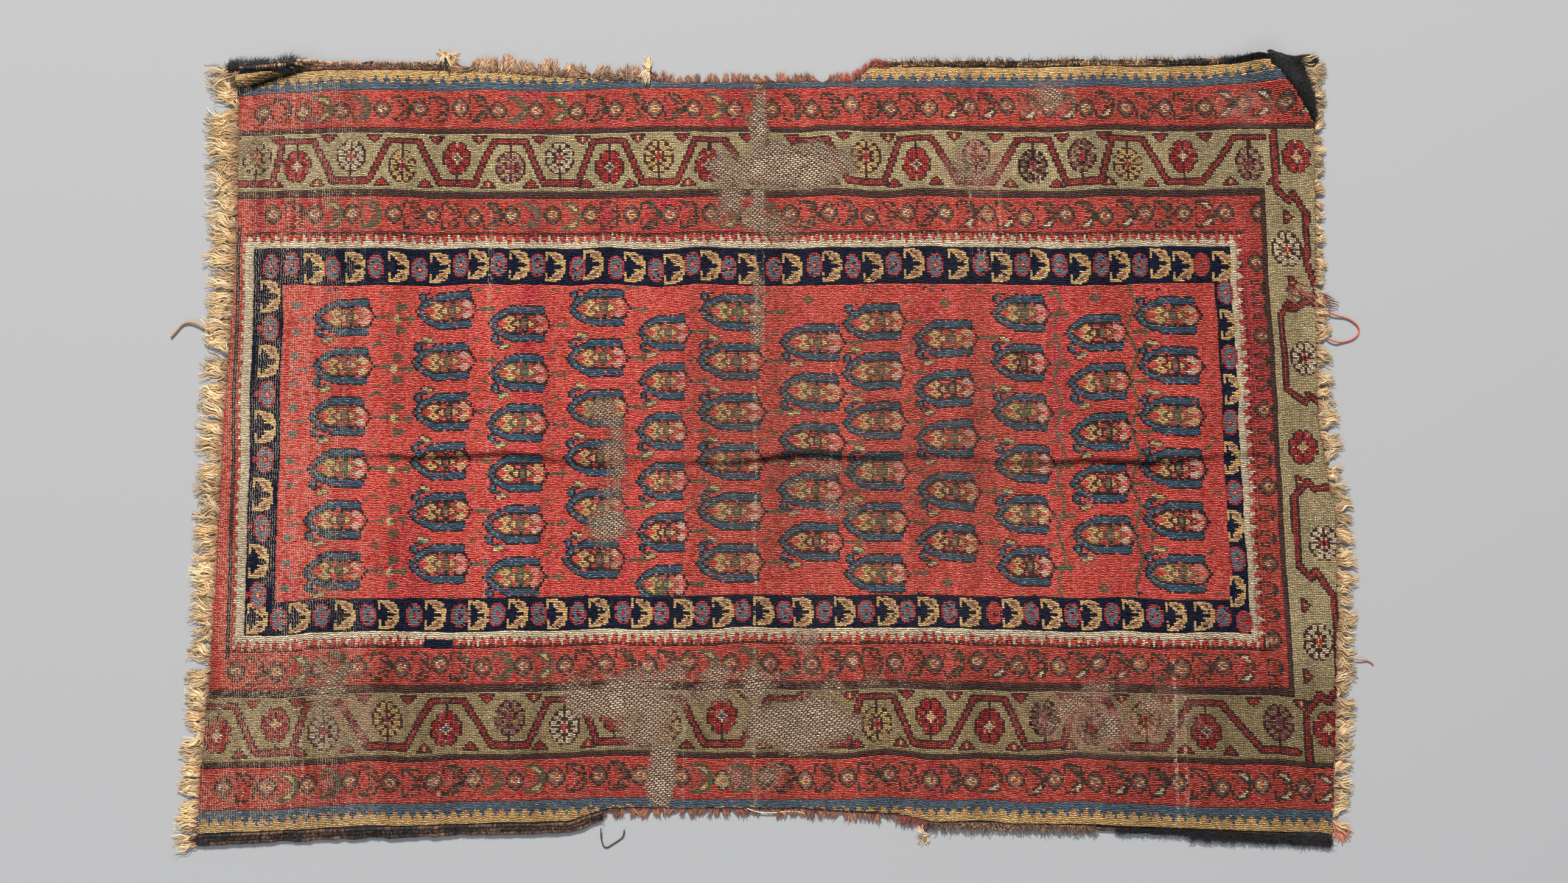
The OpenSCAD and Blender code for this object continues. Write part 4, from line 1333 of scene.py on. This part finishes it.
def strand_mesh(name, roots, headings, lengths, radii, tones, tip_z, rings, bend, waves, wave_size,
                arch, sides=4, root_tones=None, tip_share=0.35, follow=None, phases=None):
    """Many thin tapering strands, each a tube from its root along its heading, waving from side to side.

    follow pulls each strand towards a shared heading at its tip, so that strands gather in locks.
    """
    count = len(roots)
    step = np.linspace(0, 1, rings)
    turn = rng.normal(0, bend, count)[:, None] * step[None, :]
    phase = rng.uniform(0, 2 * math.pi, count)[:, None]
    beat = rng.uniform(0.7, 1.3, count)[:, None] * waves * 2 * math.pi
    if phases is not None:
        phase = np.asarray(phases)[:, None] + 0.12 * phase
        beat = rng.uniform(0.92, 1.08, count)[:, None] * waves * 2 * math.pi
    heading = np.asarray(headings)[:, None] + turn + wave_size * np.sin(beat * step[None, :] + phase)
    if follow is not None:
        heading = heading + np.asarray(follow)[:, None] * np.sin(math.pi * step)[None, :]
    stride = np.asarray(lengths)[:, None] / (rings - 1)

    def travelled(share):
        return np.concatenate([np.zeros((count, 1)), np.cumsum(share * stride, 1)], 1)

    x = roots[:, 0:1] + travelled(np.cos(heading[:, 1:]))
    y = roots[:, 1:2] + travelled(np.sin(heading[:, 1:]))
    fall = np.clip(step / 0.45, 0, 1)
    fall = fall * fall * (3 - 2 * fall)
    z = roots[:, 2:3] * (1 - fall) + np.asarray(tip_z)[:, None] * fall
    z = z + (np.asarray(arch)[..., None] if np.ndim(arch) else arch) * np.sin(math.pi * step)
    radius = np.asarray(radii)[:, None] * (1 - (1 - tip_share) * step[None, :] ** 1.4)
    z = np.maximum(z, radius + 0.05)
    across = np.stack([-np.sin(heading), np.cos(heading)], 2)
    angle = ring_angles(sides)
    ring = np.empty((count, rings, sides, 3))
    ring[..., 0] = x[..., None] + radius[..., None] * np.cos(angle) * across[..., 0:1]
    ring[..., 1] = y[..., None] + radius[..., None] * np.cos(angle) * across[..., 1:2]
    ring[..., 2] = z[..., None] + radius[..., None] * np.sin(angle)
    base = np.arange(count) * rings * sides
    quads = (base[:, None, None] + tube_quads(rings, sides)).reshape(-1, 4)
    if sides == 4:
        last = base + (rings - 1) * sides
        quads = np.concatenate([quads, last[:, None] + np.arange(4)])
    piece = build_mesh(name, ring.reshape(-1, 3), quads)
    start = tones if root_tones is None else root_tones
    share = np.clip(step * 2.0, 0, 1)[None, :, None] ** 1.3
    blended = start[:, None, :] * (1 - share) + tones[:, None, :] * share
    blended = blended * (1 + 0.10 * rng.normal(0, 1, (count, rings, 1)))
    colours = np.repeat(np.clip(blended, 0, 1)[:, :, None, :], sides, 2).reshape(-1, 3)
    add_colours(piece, "strand_colour", colours, "POINT")
    return piece


LOCK_WIDTH = 6.5     # how wide a lock of a fringe is


def fringe_piece(name, side, low, high, ends, tips, count, reds, brightness):
    """One fringe of bare warp ends, gathered in wavy locks that lean and cross."""
    y = np.sort(rng.uniform(low, high, count))
    lock = np.floor((y + 600) / LOCK_WIDTH + 0.9 * line_noise(y, 34, 61)).astype(int)
    table = np.random.default_rng(62).normal(0, 1, (400, 6))[lock % 400]
    lock_middle = (lock + 0.5) * LOCK_WIDTH - 600
    root_x = lookup(ends, y) - side * rng.uniform(0.5, 3.5, count)
    reach = (lookup(tips, y) - lookup(ends, y)) * side
    length = reach * (0.86 + 0.16 * table[:, 1]) * rng.uniform(0.72, 1.08, count) + 1
    length = np.clip(length, 8, reach * 1.08)
    gather = np.clip((lock_middle - y) * 0.07, -0.4, 0.4)
    heading = 0.24 * table[:, 0] + 0.13 * rng.normal(0, 1, count) + gather
    heading = heading if side > 0 else math.pi - heading
    level = np.clip(0.5 + 0.25 * table[:, 3] + 0.22 * rng.normal(0, 1, count), 0, 1)
    roots = np.stack([root_x, y, lift(root_x, y) + 0.8 + 2.2 * level], 1)
    # Painted shade: strands that lie lower in a lock are darker and those on top lighter; each fringe's own
    # number from the table below darkens it as a whole
    shade = brightness * np.clip(0.55 + 0.55 * level + 0.10 * table[:, 2], 0.4, 1.25)
    tones = picked_tones(GOLD_CREAM, count) * shade[:, None]
    root_tones = tones * np.array([0.28, 0.17, 0.13])
    # A third of the strands are short and keep to the roots, so that no ground shows between the locks
    short = rng.random(count) < 0.34
    length[short] *= 0.42
    heading[short] -= 0.8 * gather[short] * side
    # Painted shade: the short strands under the locks are darker
    tones[short] *= 0.7
    red = rng.random(count) < 0.22 + 0.26 * (line_noise(y, 35, 63) > 0.35)
    root_tones[red] = picked_tones(reds, int(red.sum())) * 0.8
    follow = 0.42 * table[:, 4] - 1.3 * gather * (1 if side > 0 else -1)
    return strand_mesh(name, roots, heading, length, rng.uniform(0.6, 1.25, count), tones,
                       0.4 + 4.4 * level, rings=11, bend=0.16, waves=1.7, wave_size=0.42,
                       arch=rng.uniform(0, 2.6, count), root_tones=root_tones, tip_share=0.3,
                       follow=follow, phases=3.1 * table[:, 5])


LOOSE_LOCK = 7.0     # how wide a lock of loose wool is


def edge_fray(name, line, first_x, last_x, per_mm, lengths, colours, radius, spread, band, inset=1.0,
              height=(1.0, 3.4), tip_height=(0.4, 3.0), arch=1.2, root_colours=None):
    """Loose wool along a side: strands that point away from the web, gathered in locks that lean and curl."""
    edge, side = line
    count = int((last_x - first_x) * per_mm)
    x = rng.uniform(first_x, last_x, count)
    y = edge(x) - side * inset + rng.uniform(-band, band, count) * 0.5
    roots = np.stack([x, y, lift(x, y) + rng.uniform(height[0], height[1], count)], 1)
    lock_number = np.floor((x + 800) / LOOSE_LOCK + 0.7 * line_noise(x, 3 * LOOSE_LOCK, 72)).astype(int)
    table = np.random.default_rng(73).normal(0, 1, (700, 4))[lock_number % 700]
    lock_middle = (lock_number + 0.5) * LOOSE_LOCK - 800
    gather = np.clip((lock_middle - x) * 0.09, -0.5, 0.5)
    heading = side * (math.pi / 2 - gather) + 0.40 * table[:, 0] + 0.45 * spread * rng.normal(0, 1, count)
    length = rng.uniform(lengths[0], lengths[1], count) * (1 + 0.14 * line_noise(x, 14, 71))
    length *= np.clip(1 + 0.1 * table[:, 1], 0.7, 1.3)
    tip_z = rng.uniform(tip_height[0], tip_height[1], count) + 0.5 * lift(x, y)
    tones = picked_tones(colours, count) * np.clip(1 + 0.22 * table[:, 2], 0.6, 1.5)[:, None]
    root_tones = tones * 0.45 if root_colours is None else picked_tones(root_colours, count)
    return strand_mesh(name, roots, heading, length, rng.uniform(radius[0], radius[1], count), tones, tip_z,
                       sides=3, rings=8, bend=0.18, waves=0.9, wave_size=0.14,
                       arch=rng.uniform(0, arch, count), tip_share=0.45, follow=0.45 * table[:, 3],
                       root_tones=root_tones)


CURLED_TIPS = [(438, 782), (480, 788), (526, 786)]
for name, node, side, low, high, ends, tips, count, reds, brightness in [
        ("left_fringe_wool", "fringe_left", -1, -536, 512, LEFT_END, LEFT_TIPS, 3900,
         BROWN_WOOL + RED_WOOL, 1.0),
        ("right_fringe_wool", "fringe_right", 1, -508, 438, RIGHT_END, RIGHT_TIPS, 3600,
         BROWN_WOOL + RED_WOOL, 0.86),
        ("curled_fringe_wool", "curled_fringe", 1, 438, 526, RIGHT_END, CURLED_TIPS, 460, BROWN_WOOL, 0.8)]:
    lay(fringe_piece(name, side, low, high, ends, tips, count, reds, brightness), "warp_wool", [node])
FRAY_BROWN = [(150, 98, 76), (172, 116, 88), (132, 82, 66), (186, 136, 102), (140, 76, 62)]
FRAY_ROOTS = [(74, 40, 34), (92, 50, 42), (60, 36, 32), (104, 44, 38)]
for name, node, line, first, last, per_mm, lengths in [
        ("far_weft_wool", "weft_fray_far", FAR, -430, 150, 6.5, (8, 17)),
        ("near_weft_wool", "weft_fray_near", NEAR, -205, 215, 6.0, (7, 15))]:
    lay(edge_fray(name, line, first, last, per_mm, lengths, FRAY_BROWN, (0.45, 0.9), spread=0.3, band=3,
                  root_colours=FRAY_ROOTS), "weft_wool", [node])

# ---------------------------------------------------------------------------
# Selvedges: cords side by side, wrapped with wool or goat hair
# ---------------------------------------------------------------------------
CORD_GAP = 0.9        # between the web and the first cord
CORD_TAPER = 6.0      # how far from its ends a cord thins out
WRAP_PITCH = 1.5      # one turn of the wrapping


def wrapped_cords(name, line, first_x, last_x, cords, radius, tone_at, seed, narrow):
    """Cords that run along an edge, with their wrapping shown turn by turn.

    tone_at gives the wrapping's palette and patches for a place along the edge; narrow is the width at the
    first end as a share of the width at the last.
    """
    edge, side = line
    draw = np.random.default_rng(seed)
    sides = 10
    x = np.arange(first_x, last_x, 0.75)
    turn = ring_angles(sides)
    vertices, quads, colours = [], [], []
    for number in range(cords):
        share = np.interp(x, [first_x, last_x], [narrow, 1]) * (1 + 0.12 * line_noise(x, 12, seed + 2))
        centre = (CORD_GAP + radius + number * radius * 1.85) * share
        wander = 0.7 * smooth_noise(x, 0 * x + number * 40, 15, seed)
        y = edge(x) + side * (centre + wander)
        near_end = np.clip(np.minimum(x - first_x, last_x - x) / CORD_TAPER, 0, 1) ** 0.5
        swell = 1 + 0.14 * smooth_noise(x, 0 * x + number * 9, 9, seed + 1)
        size = radius * share * (0.25 + 0.75 * near_end) * swell
        z = lift(x, y) + size + 0.1
        wrap = 0.13 * np.sin(2 * math.pi * x[:, None] / WRAP_PITCH + turn[None, :] + number)
        wrap += 0.07 * draw.normal(0, 1, (len(x), sides))
        ring = np.empty((len(x), sides, 3))
        ring[..., 0] = x[:, None]
        ring[..., 1] = y[:, None] + size[:, None] * (1 + wrap) * np.cos(turn)
        ring[..., 2] = np.maximum(z[:, None] + size[:, None] * (1 + wrap) * np.sin(turn), 0.05)
        base = sum(len(part) for part in vertices)
        vertices.append(ring.reshape(-1, 3))
        quads.append((base + tube_quads(len(x), sides))[:, ::-1])
        tones = tone_at(x, number, draw)
        # Painted shade and highlight: the wrapping is darker in its grooves and lighter on its raised turns
        shading = 1 + 0.7 * wrap
        colours.append(np.clip(tones[:, None, :] * shading[..., None], 0, 1).reshape(-1, 3))
    piece = build_mesh(name, np.concatenate(vertices), np.concatenate(quads))
    add_colours(piece, "strand_colour", np.concatenate(colours), "POINT")
    return piece


def plain_tone(colours):
    def tone_at(x, number, draw):
        block = np.floor(x / 2.3 + 3 * line_noise(x, 12, 81)).astype(int)
        table = linear(np.array(colours)[draw.integers(0, len(colours), 4000)])
        return table[block % 4000] * (1 + 0.12 * draw.normal(0, 1, (len(x), 1)))
    return tone_at


def patched_tone(colours, others, size, share, seed, solid_from=9999):
    """One wrapping with patches of another, such as tan wool with black overcasting left in places.

    Past solid_from there is only the second.
    """
    first, second = plain_tone(colours), plain_tone(others)

    def tone_at(x, number, draw):
        patchy = smooth_noise(x, 0 * x + 31 * number * 0.4, size, seed)
        patch = (patchy + 0.25 * draw.normal(0, 1, len(x))) > share
        patch |= x > solid_from + draw.normal(0, 3, len(x))
        return np.where(patch[:, None], second(x, number, draw), first(x, number, draw))
    return tone_at


# Each: its name, its CAD node, its side, its first and last x, how many cords and how thick, wrapping, slot
EDGES = [
    ("far_left_edge", "selvedge_far_left", FAR, -730, -655, 2, 3.0,
     patched_tone(BLACK_HAIR, TAN_WOOL, 16, 0.35, 91), "goat_hair"),
    ("far_frayed_edge", "selvedge_far_frayed", FAR, -654, -431, 3, 2.1,
     patched_tone(TAN_WOOL, BROWN_WOOL + BLACK_HAIR, 14, 0.2, 92), "edge_cord"),
    ("far_right_edge", "selvedge_far_right", FAR, 151, 694, 3, 1.6,
     patched_tone(TAN_WOOL, BLACK_HAIR, 22, 0.12, 93, 636), "edge_cord"),
    ("curled_edge", "curled_selvedge", FAR, 695, 766, 3, 2.4, plain_tone(BLACK_HAIR), "goat_hair"),
    ("near_left_edge", "selvedge_near_left", NEAR, -738, -206, 3, 2.4,
     patched_tone(BLACK_HAIR, [(70, 50, 42), (94, 68, 54), (116, 86, 64)], 30, 0.15, 94), "goat_hair"),
    ("near_middle_edge", "selvedge_near_middle", NEAR, 216, 435, 2, 1.6,
     patched_tone(TAN_WOOL, BROWN_WOOL, 18, 0.3, 95), "edge_cord"),
    ("near_right_edge", "selvedge_near_right", NEAR, 437, 741, 4, 2.1,
     patched_tone([(84, 58, 48), (70, 48, 40), (98, 68, 54)], BLACK_HAIR, 12, 0.1, 96, 480), "goat_hair")]
for number, (name, node, line, first, last, cords, radius, tone, slot) in enumerate(EDGES):
    narrow = 0.42 if name == "near_right_edge" else 1.0
    lay(wrapped_cords(name, line, first, last, cords, radius, tone, 300 + 7 * number, narrow), slot, [node])

# Loose hair and wool that stand off the edges
# Each: its name, its side, its first and last x, strands per mm, their lengths and colours, its slot, how far
# inside the edge they start, and how much they spread
HAIRS = [
    ("far_left_hair", FAR, -742, -640, 22.0, (7, 17), BLACK_HAIR, "goat_hair", -4, 1.4),
    ("far_frayed_wool", FAR, -655, -431, 10.0, (4, 10), TAN_WOOL + BROWN_WOOL + BLACK_HAIR[3:], "weft_wool",
     -4, 2.4),
    ("far_tan_locks", FAR, -436, -168, 13.0, (13, 20),
     [(204, 160, 118), (220, 184, 144), (176, 128, 92), (140, 96, 74)], "weft_wool", 0, 0.35),
    ("far_red_tufts", FAR, -618, -500, 7.0, (4, 10), RED_WOOL, "pink_wool", -3, 2.4),
    ("far_right_hair", FAR, 151, 694, 3.0, (4, 11), BLACK_HAIR + TAN_WOOL[2:4], "goat_hair", -4, 0.9),
    ("far_pink_tufts", FAR, 112, 176, 8.0, (6, 14), RED_WOOL, "pink_wool", -1, 0.6),
    ("curled_hair", FAR, 640, 770, 20.0, (4, 9), BLACK_HAIR, "goat_hair", -5, 1.6),
    ("near_left_hair", NEAR, -742, -206, 9.0, (3, 8), BLACK_HAIR + BROWN_WOOL[:2], "goat_hair", -6, 1.5),
    ("near_middle_wool", NEAR, 216, 435, 5.0, (4, 10), TAN_WOOL + BROWN_WOOL, "weft_wool", -3, 1.0),
    ("near_right_hair", NEAR, 560, 744, 16.0, (3, 7.5), BLACK_HAIR, "goat_hair", -8, 2.4),
    ("near_right_start", NEAR, 462, 600, 14.0, (2.5, 6), BLACK_HAIR, "goat_hair", -4, 2.4),
    ("near_pink_tufts", NEAR, 178, 214, 6.0, (5, 12), RED_WOOL, "pink_wool", -1, 0.6)]
for name, line, first, last, per_mm, lengths, colours, slot, inset, spread in HAIRS:
    piece = edge_fray(name, line, first, last, per_mm, lengths, colours,
                      radius=(0.4, 0.8) if slot == "weft_wool" else (0.2, 0.42),
                      inset=inset, spread=spread, height=(1.5, 6.0), tip_height=(0.4, 5.0), arch=2.5,
                      band=12 if name == "near_right_hair" else 7)
    lay(piece, slot)

# Black hair strands over the outer slope of the curled corner darken it further, as painted shadow
cover_x, cover_y = rng.uniform(676, 764, 7000), rng.uniform(440, 526, 7000)
covered = (curl_distance(cover_x, cover_y) > CREST) & (cover_y < far_edge(cover_x) + 4)
covered &= cover_x < lookup(RIGHT_END, cover_y) + 2
cover_x, cover_y = cover_x[covered], cover_y[covered]
cover_count = len(cover_x)
cover_z = lift(cover_x, cover_y) + FOUNDATION_T + PILE_H + 0.4
cover = strand_mesh("curled_shadow_hair", np.stack([cover_x, cover_y, cover_z], 1),
                    rng.normal(0.2, 0.9, cover_count), rng.uniform(4, 9, cover_count),
                    rng.uniform(0.25, 0.5, cover_count), picked_tones(BLACK_HAIR, cover_count) * 0.8,
                    np.maximum(cover_z - 3.0, 1.0), sides=3, rings=5, bend=0.5, waves=0.6, wave_size=0.2,
                    arch=0.8)
lay(cover, "goat_hair")

# ---------------------------------------------------------------------------
# Ties, the corner tuft and other odd ends
# ---------------------------------------------------------------------------
def bundle(name, places, headings, lengths, tones, radius, height, bend=0.35, tip=0.8, waves=1.0):
    """Loose ends of wool that lie on the web or the ground."""
    places = np.asarray(places, float)
    roots = np.column_stack([places, lift(places[:, 0], places[:, 1]) + height])
    count = len(roots)
    return strand_mesh(name, roots, np.asarray(headings), np.asarray(lengths), np.full(count, radius), tones,
                       np.full(count, tip), sides=4, rings=10, bend=bend, waves=waves, wave_size=0.2,
                       arch=np.full(count, 0.8), tip_share=0.5)


def tie(name, node, x, y, height, tails, tail_length, strings):
    """A knot of plain wool: turns wound on each other, with cut tails, and black strings that hang from it.

    Each tail is a heading, a share of the length, and the height of the ground under its tip.
    """
    loops, points = 7, 46
    turn = np.linspace(0, 2 * math.pi * loops, points * loops)
    tilt = np.repeat(rng.uniform(-0.9, 0.9, loops), points)
    size = 2.3
    core_z = 0.85 * size * np.sin(turn) * np.sin(tilt) + 0.5 * np.sin(turn * 0.31)
    core = np.stack([size * np.cos(turn), size * np.sin(turn) * np.cos(tilt), core_z], 1)
    centre = np.array([x, y, lift(x, y) + height])
    path = core + centre
    path[:, 2] = np.maximum(path[:, 2], 0.9)
    forward = unit(np.gradient(path, axis=0))
    across = unit(np.cross(forward, [0.1, 0.2, 1.0]))
    sides, radius = 6, 0.75
    piece = build_mesh(name, tube_points(path, across, np.cross(across, forward), radius, sides),
                       tube_quads(len(path), sides))
    tone = picked_tones(GOLD_CREAM, 1)[0] * 0.95
    add_colours(piece, "strand_colour", np.tile(tone, (len(path) * sides, 1)), "POINT")
    lay(piece, "tie_wool", [node])
    for number, (heading, share, ground) in enumerate(tails + strings):
        is_string = number >= len(tails)
        strand_count = 2 if is_string else 9
        places = np.array([x, y]) + rng.normal(0, 0.8, (strand_count, 2))
        ends = bundle(f"{name}_{'string' if is_string else 'tail'}_{number + 1}", places,
                      heading + rng.normal(0, 0.05 if is_string else 0.13, strand_count),
                      tail_length * share * rng.uniform(0.8, 1.05, strand_count),
                      picked_tones(BLACK_HAIR if is_string else GOLD_CREAM, strand_count), 0.62, height,
                      tip=ground + 0.8, bend=0.3)
        slot = "black_string" if is_string else "tie_wool"
        lay(ends, slot)


ON_WEB = 1.5 + FOUNDATION_T + PILE_H + 2.0
tie("far_left_tie", "tie_far_left", -440, 532, 6.2,
    [(0.1, 1.0, 0), (-1.15, 1.2, ON_WEB), (-1.9, 0.9, ON_WEB), (2.7, 0.8, 0)], 19,
    [(-1.35, 1.9, ON_WEB), (-1.8, 1.7, ON_WEB)])
tie("far_middle_tie", "tie_far_middle", -158, 508, 7.0,
    [(1.5, 1.25, 0), (1.9, 0.8, 0), (-1.7, 1.1, ON_WEB), (-2.3, 0.9, ON_WEB)], 20, [(-0.9, 1.2, ON_WEB)])
tie("near_middle_tie", "tie_near_middle", 213, -521.5, 5.2,
    [(-1.9, 1.0, 0), (-1.2, 0.9, 0), (2.5, 0.9, ON_WEB)], 16, [(0.9, 1.2, ON_WEB)])

tuft_count = 150
tuft_places = np.column_stack([rng.uniform(744, 753, tuft_count), rng.uniform(-514, -506, tuft_count)])
tuft = bundle("corner_tuft_wool", tuft_places, rng.normal(-0.95, 0.28, tuft_count),
              rng.uniform(12, 26, tuft_count), picked_tones(PINK_WOOL, tuft_count), 0.5, 3.0)
lay(tuft, "pink_wool", ["corner_tuft"])

rust_count = 44
rust_places = np.column_stack([rng.uniform(712, 764, rust_count), rng.normal(0, 1, rust_count) * 7 + 204])
rust_places[:, 1] -= 0.45 * (rust_places[:, 0] - 712)
RUST_WOOL = [(158, 84, 62), (132, 62, 50), (186, 112, 84), (104, 52, 44)]
rust = bundle("right_rust_tufts", rust_places, rng.normal(-0.45, 0.3, rust_count),
              rng.uniform(14, 30, rust_count), picked_tones(RUST_WOOL, rust_count), 0.95, 5.4,
              tip=4.0, bend=0.5, waves=1.6)
lay(rust, "pink_wool")

FLOOR_HALF = 6
FLOOR_Z = -0.0003
floor_corners = [(x * FLOOR_HALF, y * FLOOR_HALF, FLOOR_Z) for x, y in [(-1, -1), (1, -1), (1, 1), (-1, 1)]]
floor_mesh = bpy.data.meshes.new("floor")
floor_mesh.from_pydata(floor_corners, [], [(0, 1, 2, 3)])
floor = bpy.data.objects.new("floor", floor_mesh)
bpy.context.collection.objects.link(floor)
floor_paint = bpy.data.materials.new("floor_paint")
floor_paint.use_nodes = True
floor_shader = floor_paint.node_tree.nodes["Principled BSDF"]
floor_shader.inputs["Base Color"].default_value = (0.385, 0.386, 0.39, 1)
floor_shader.inputs["Roughness"].default_value = 0.9
floor_shader.inputs["Specular IOR Level"].default_value = 0.1
floor_mesh.materials.append(floor_paint)


def soft_light(name, place, size, watts, colour):
    """A round lamp that looks at the middle of the rug."""
    lamp = bpy.data.lights.new(name, "AREA")
    lamp.shape = "DISK"
    lamp.size = size
    lamp.energy = watts
    lamp.color = colour
    light = bpy.data.objects.new(name, lamp)
    light.location = place
    x, y, z = place
    light.rotation_euler = (math.atan2(math.hypot(x, y), z), 0, math.atan2(y, x) + math.pi / 2)
    bpy.context.collection.objects.link(light)


soft_light("key", (-0.9, 9.0, 7.9), 1.3, 2200, (1.0, 0.965, 0.92))
soft_light("fill", (-1.2, -3.6, 3.4), 2.6, 62, (0.92, 0.96, 1.0))
world = bpy.data.worlds.new("studio")
world.use_nodes = True
world.node_tree.nodes["Background"].inputs["Color"].default_value = (0.80, 0.88, 1.0, 1)
world.node_tree.nodes["Background"].inputs["Strength"].default_value = 0.35
bpy.context.scene.world = world
bpy.context.scene.view_settings.view_transform = "Standard"
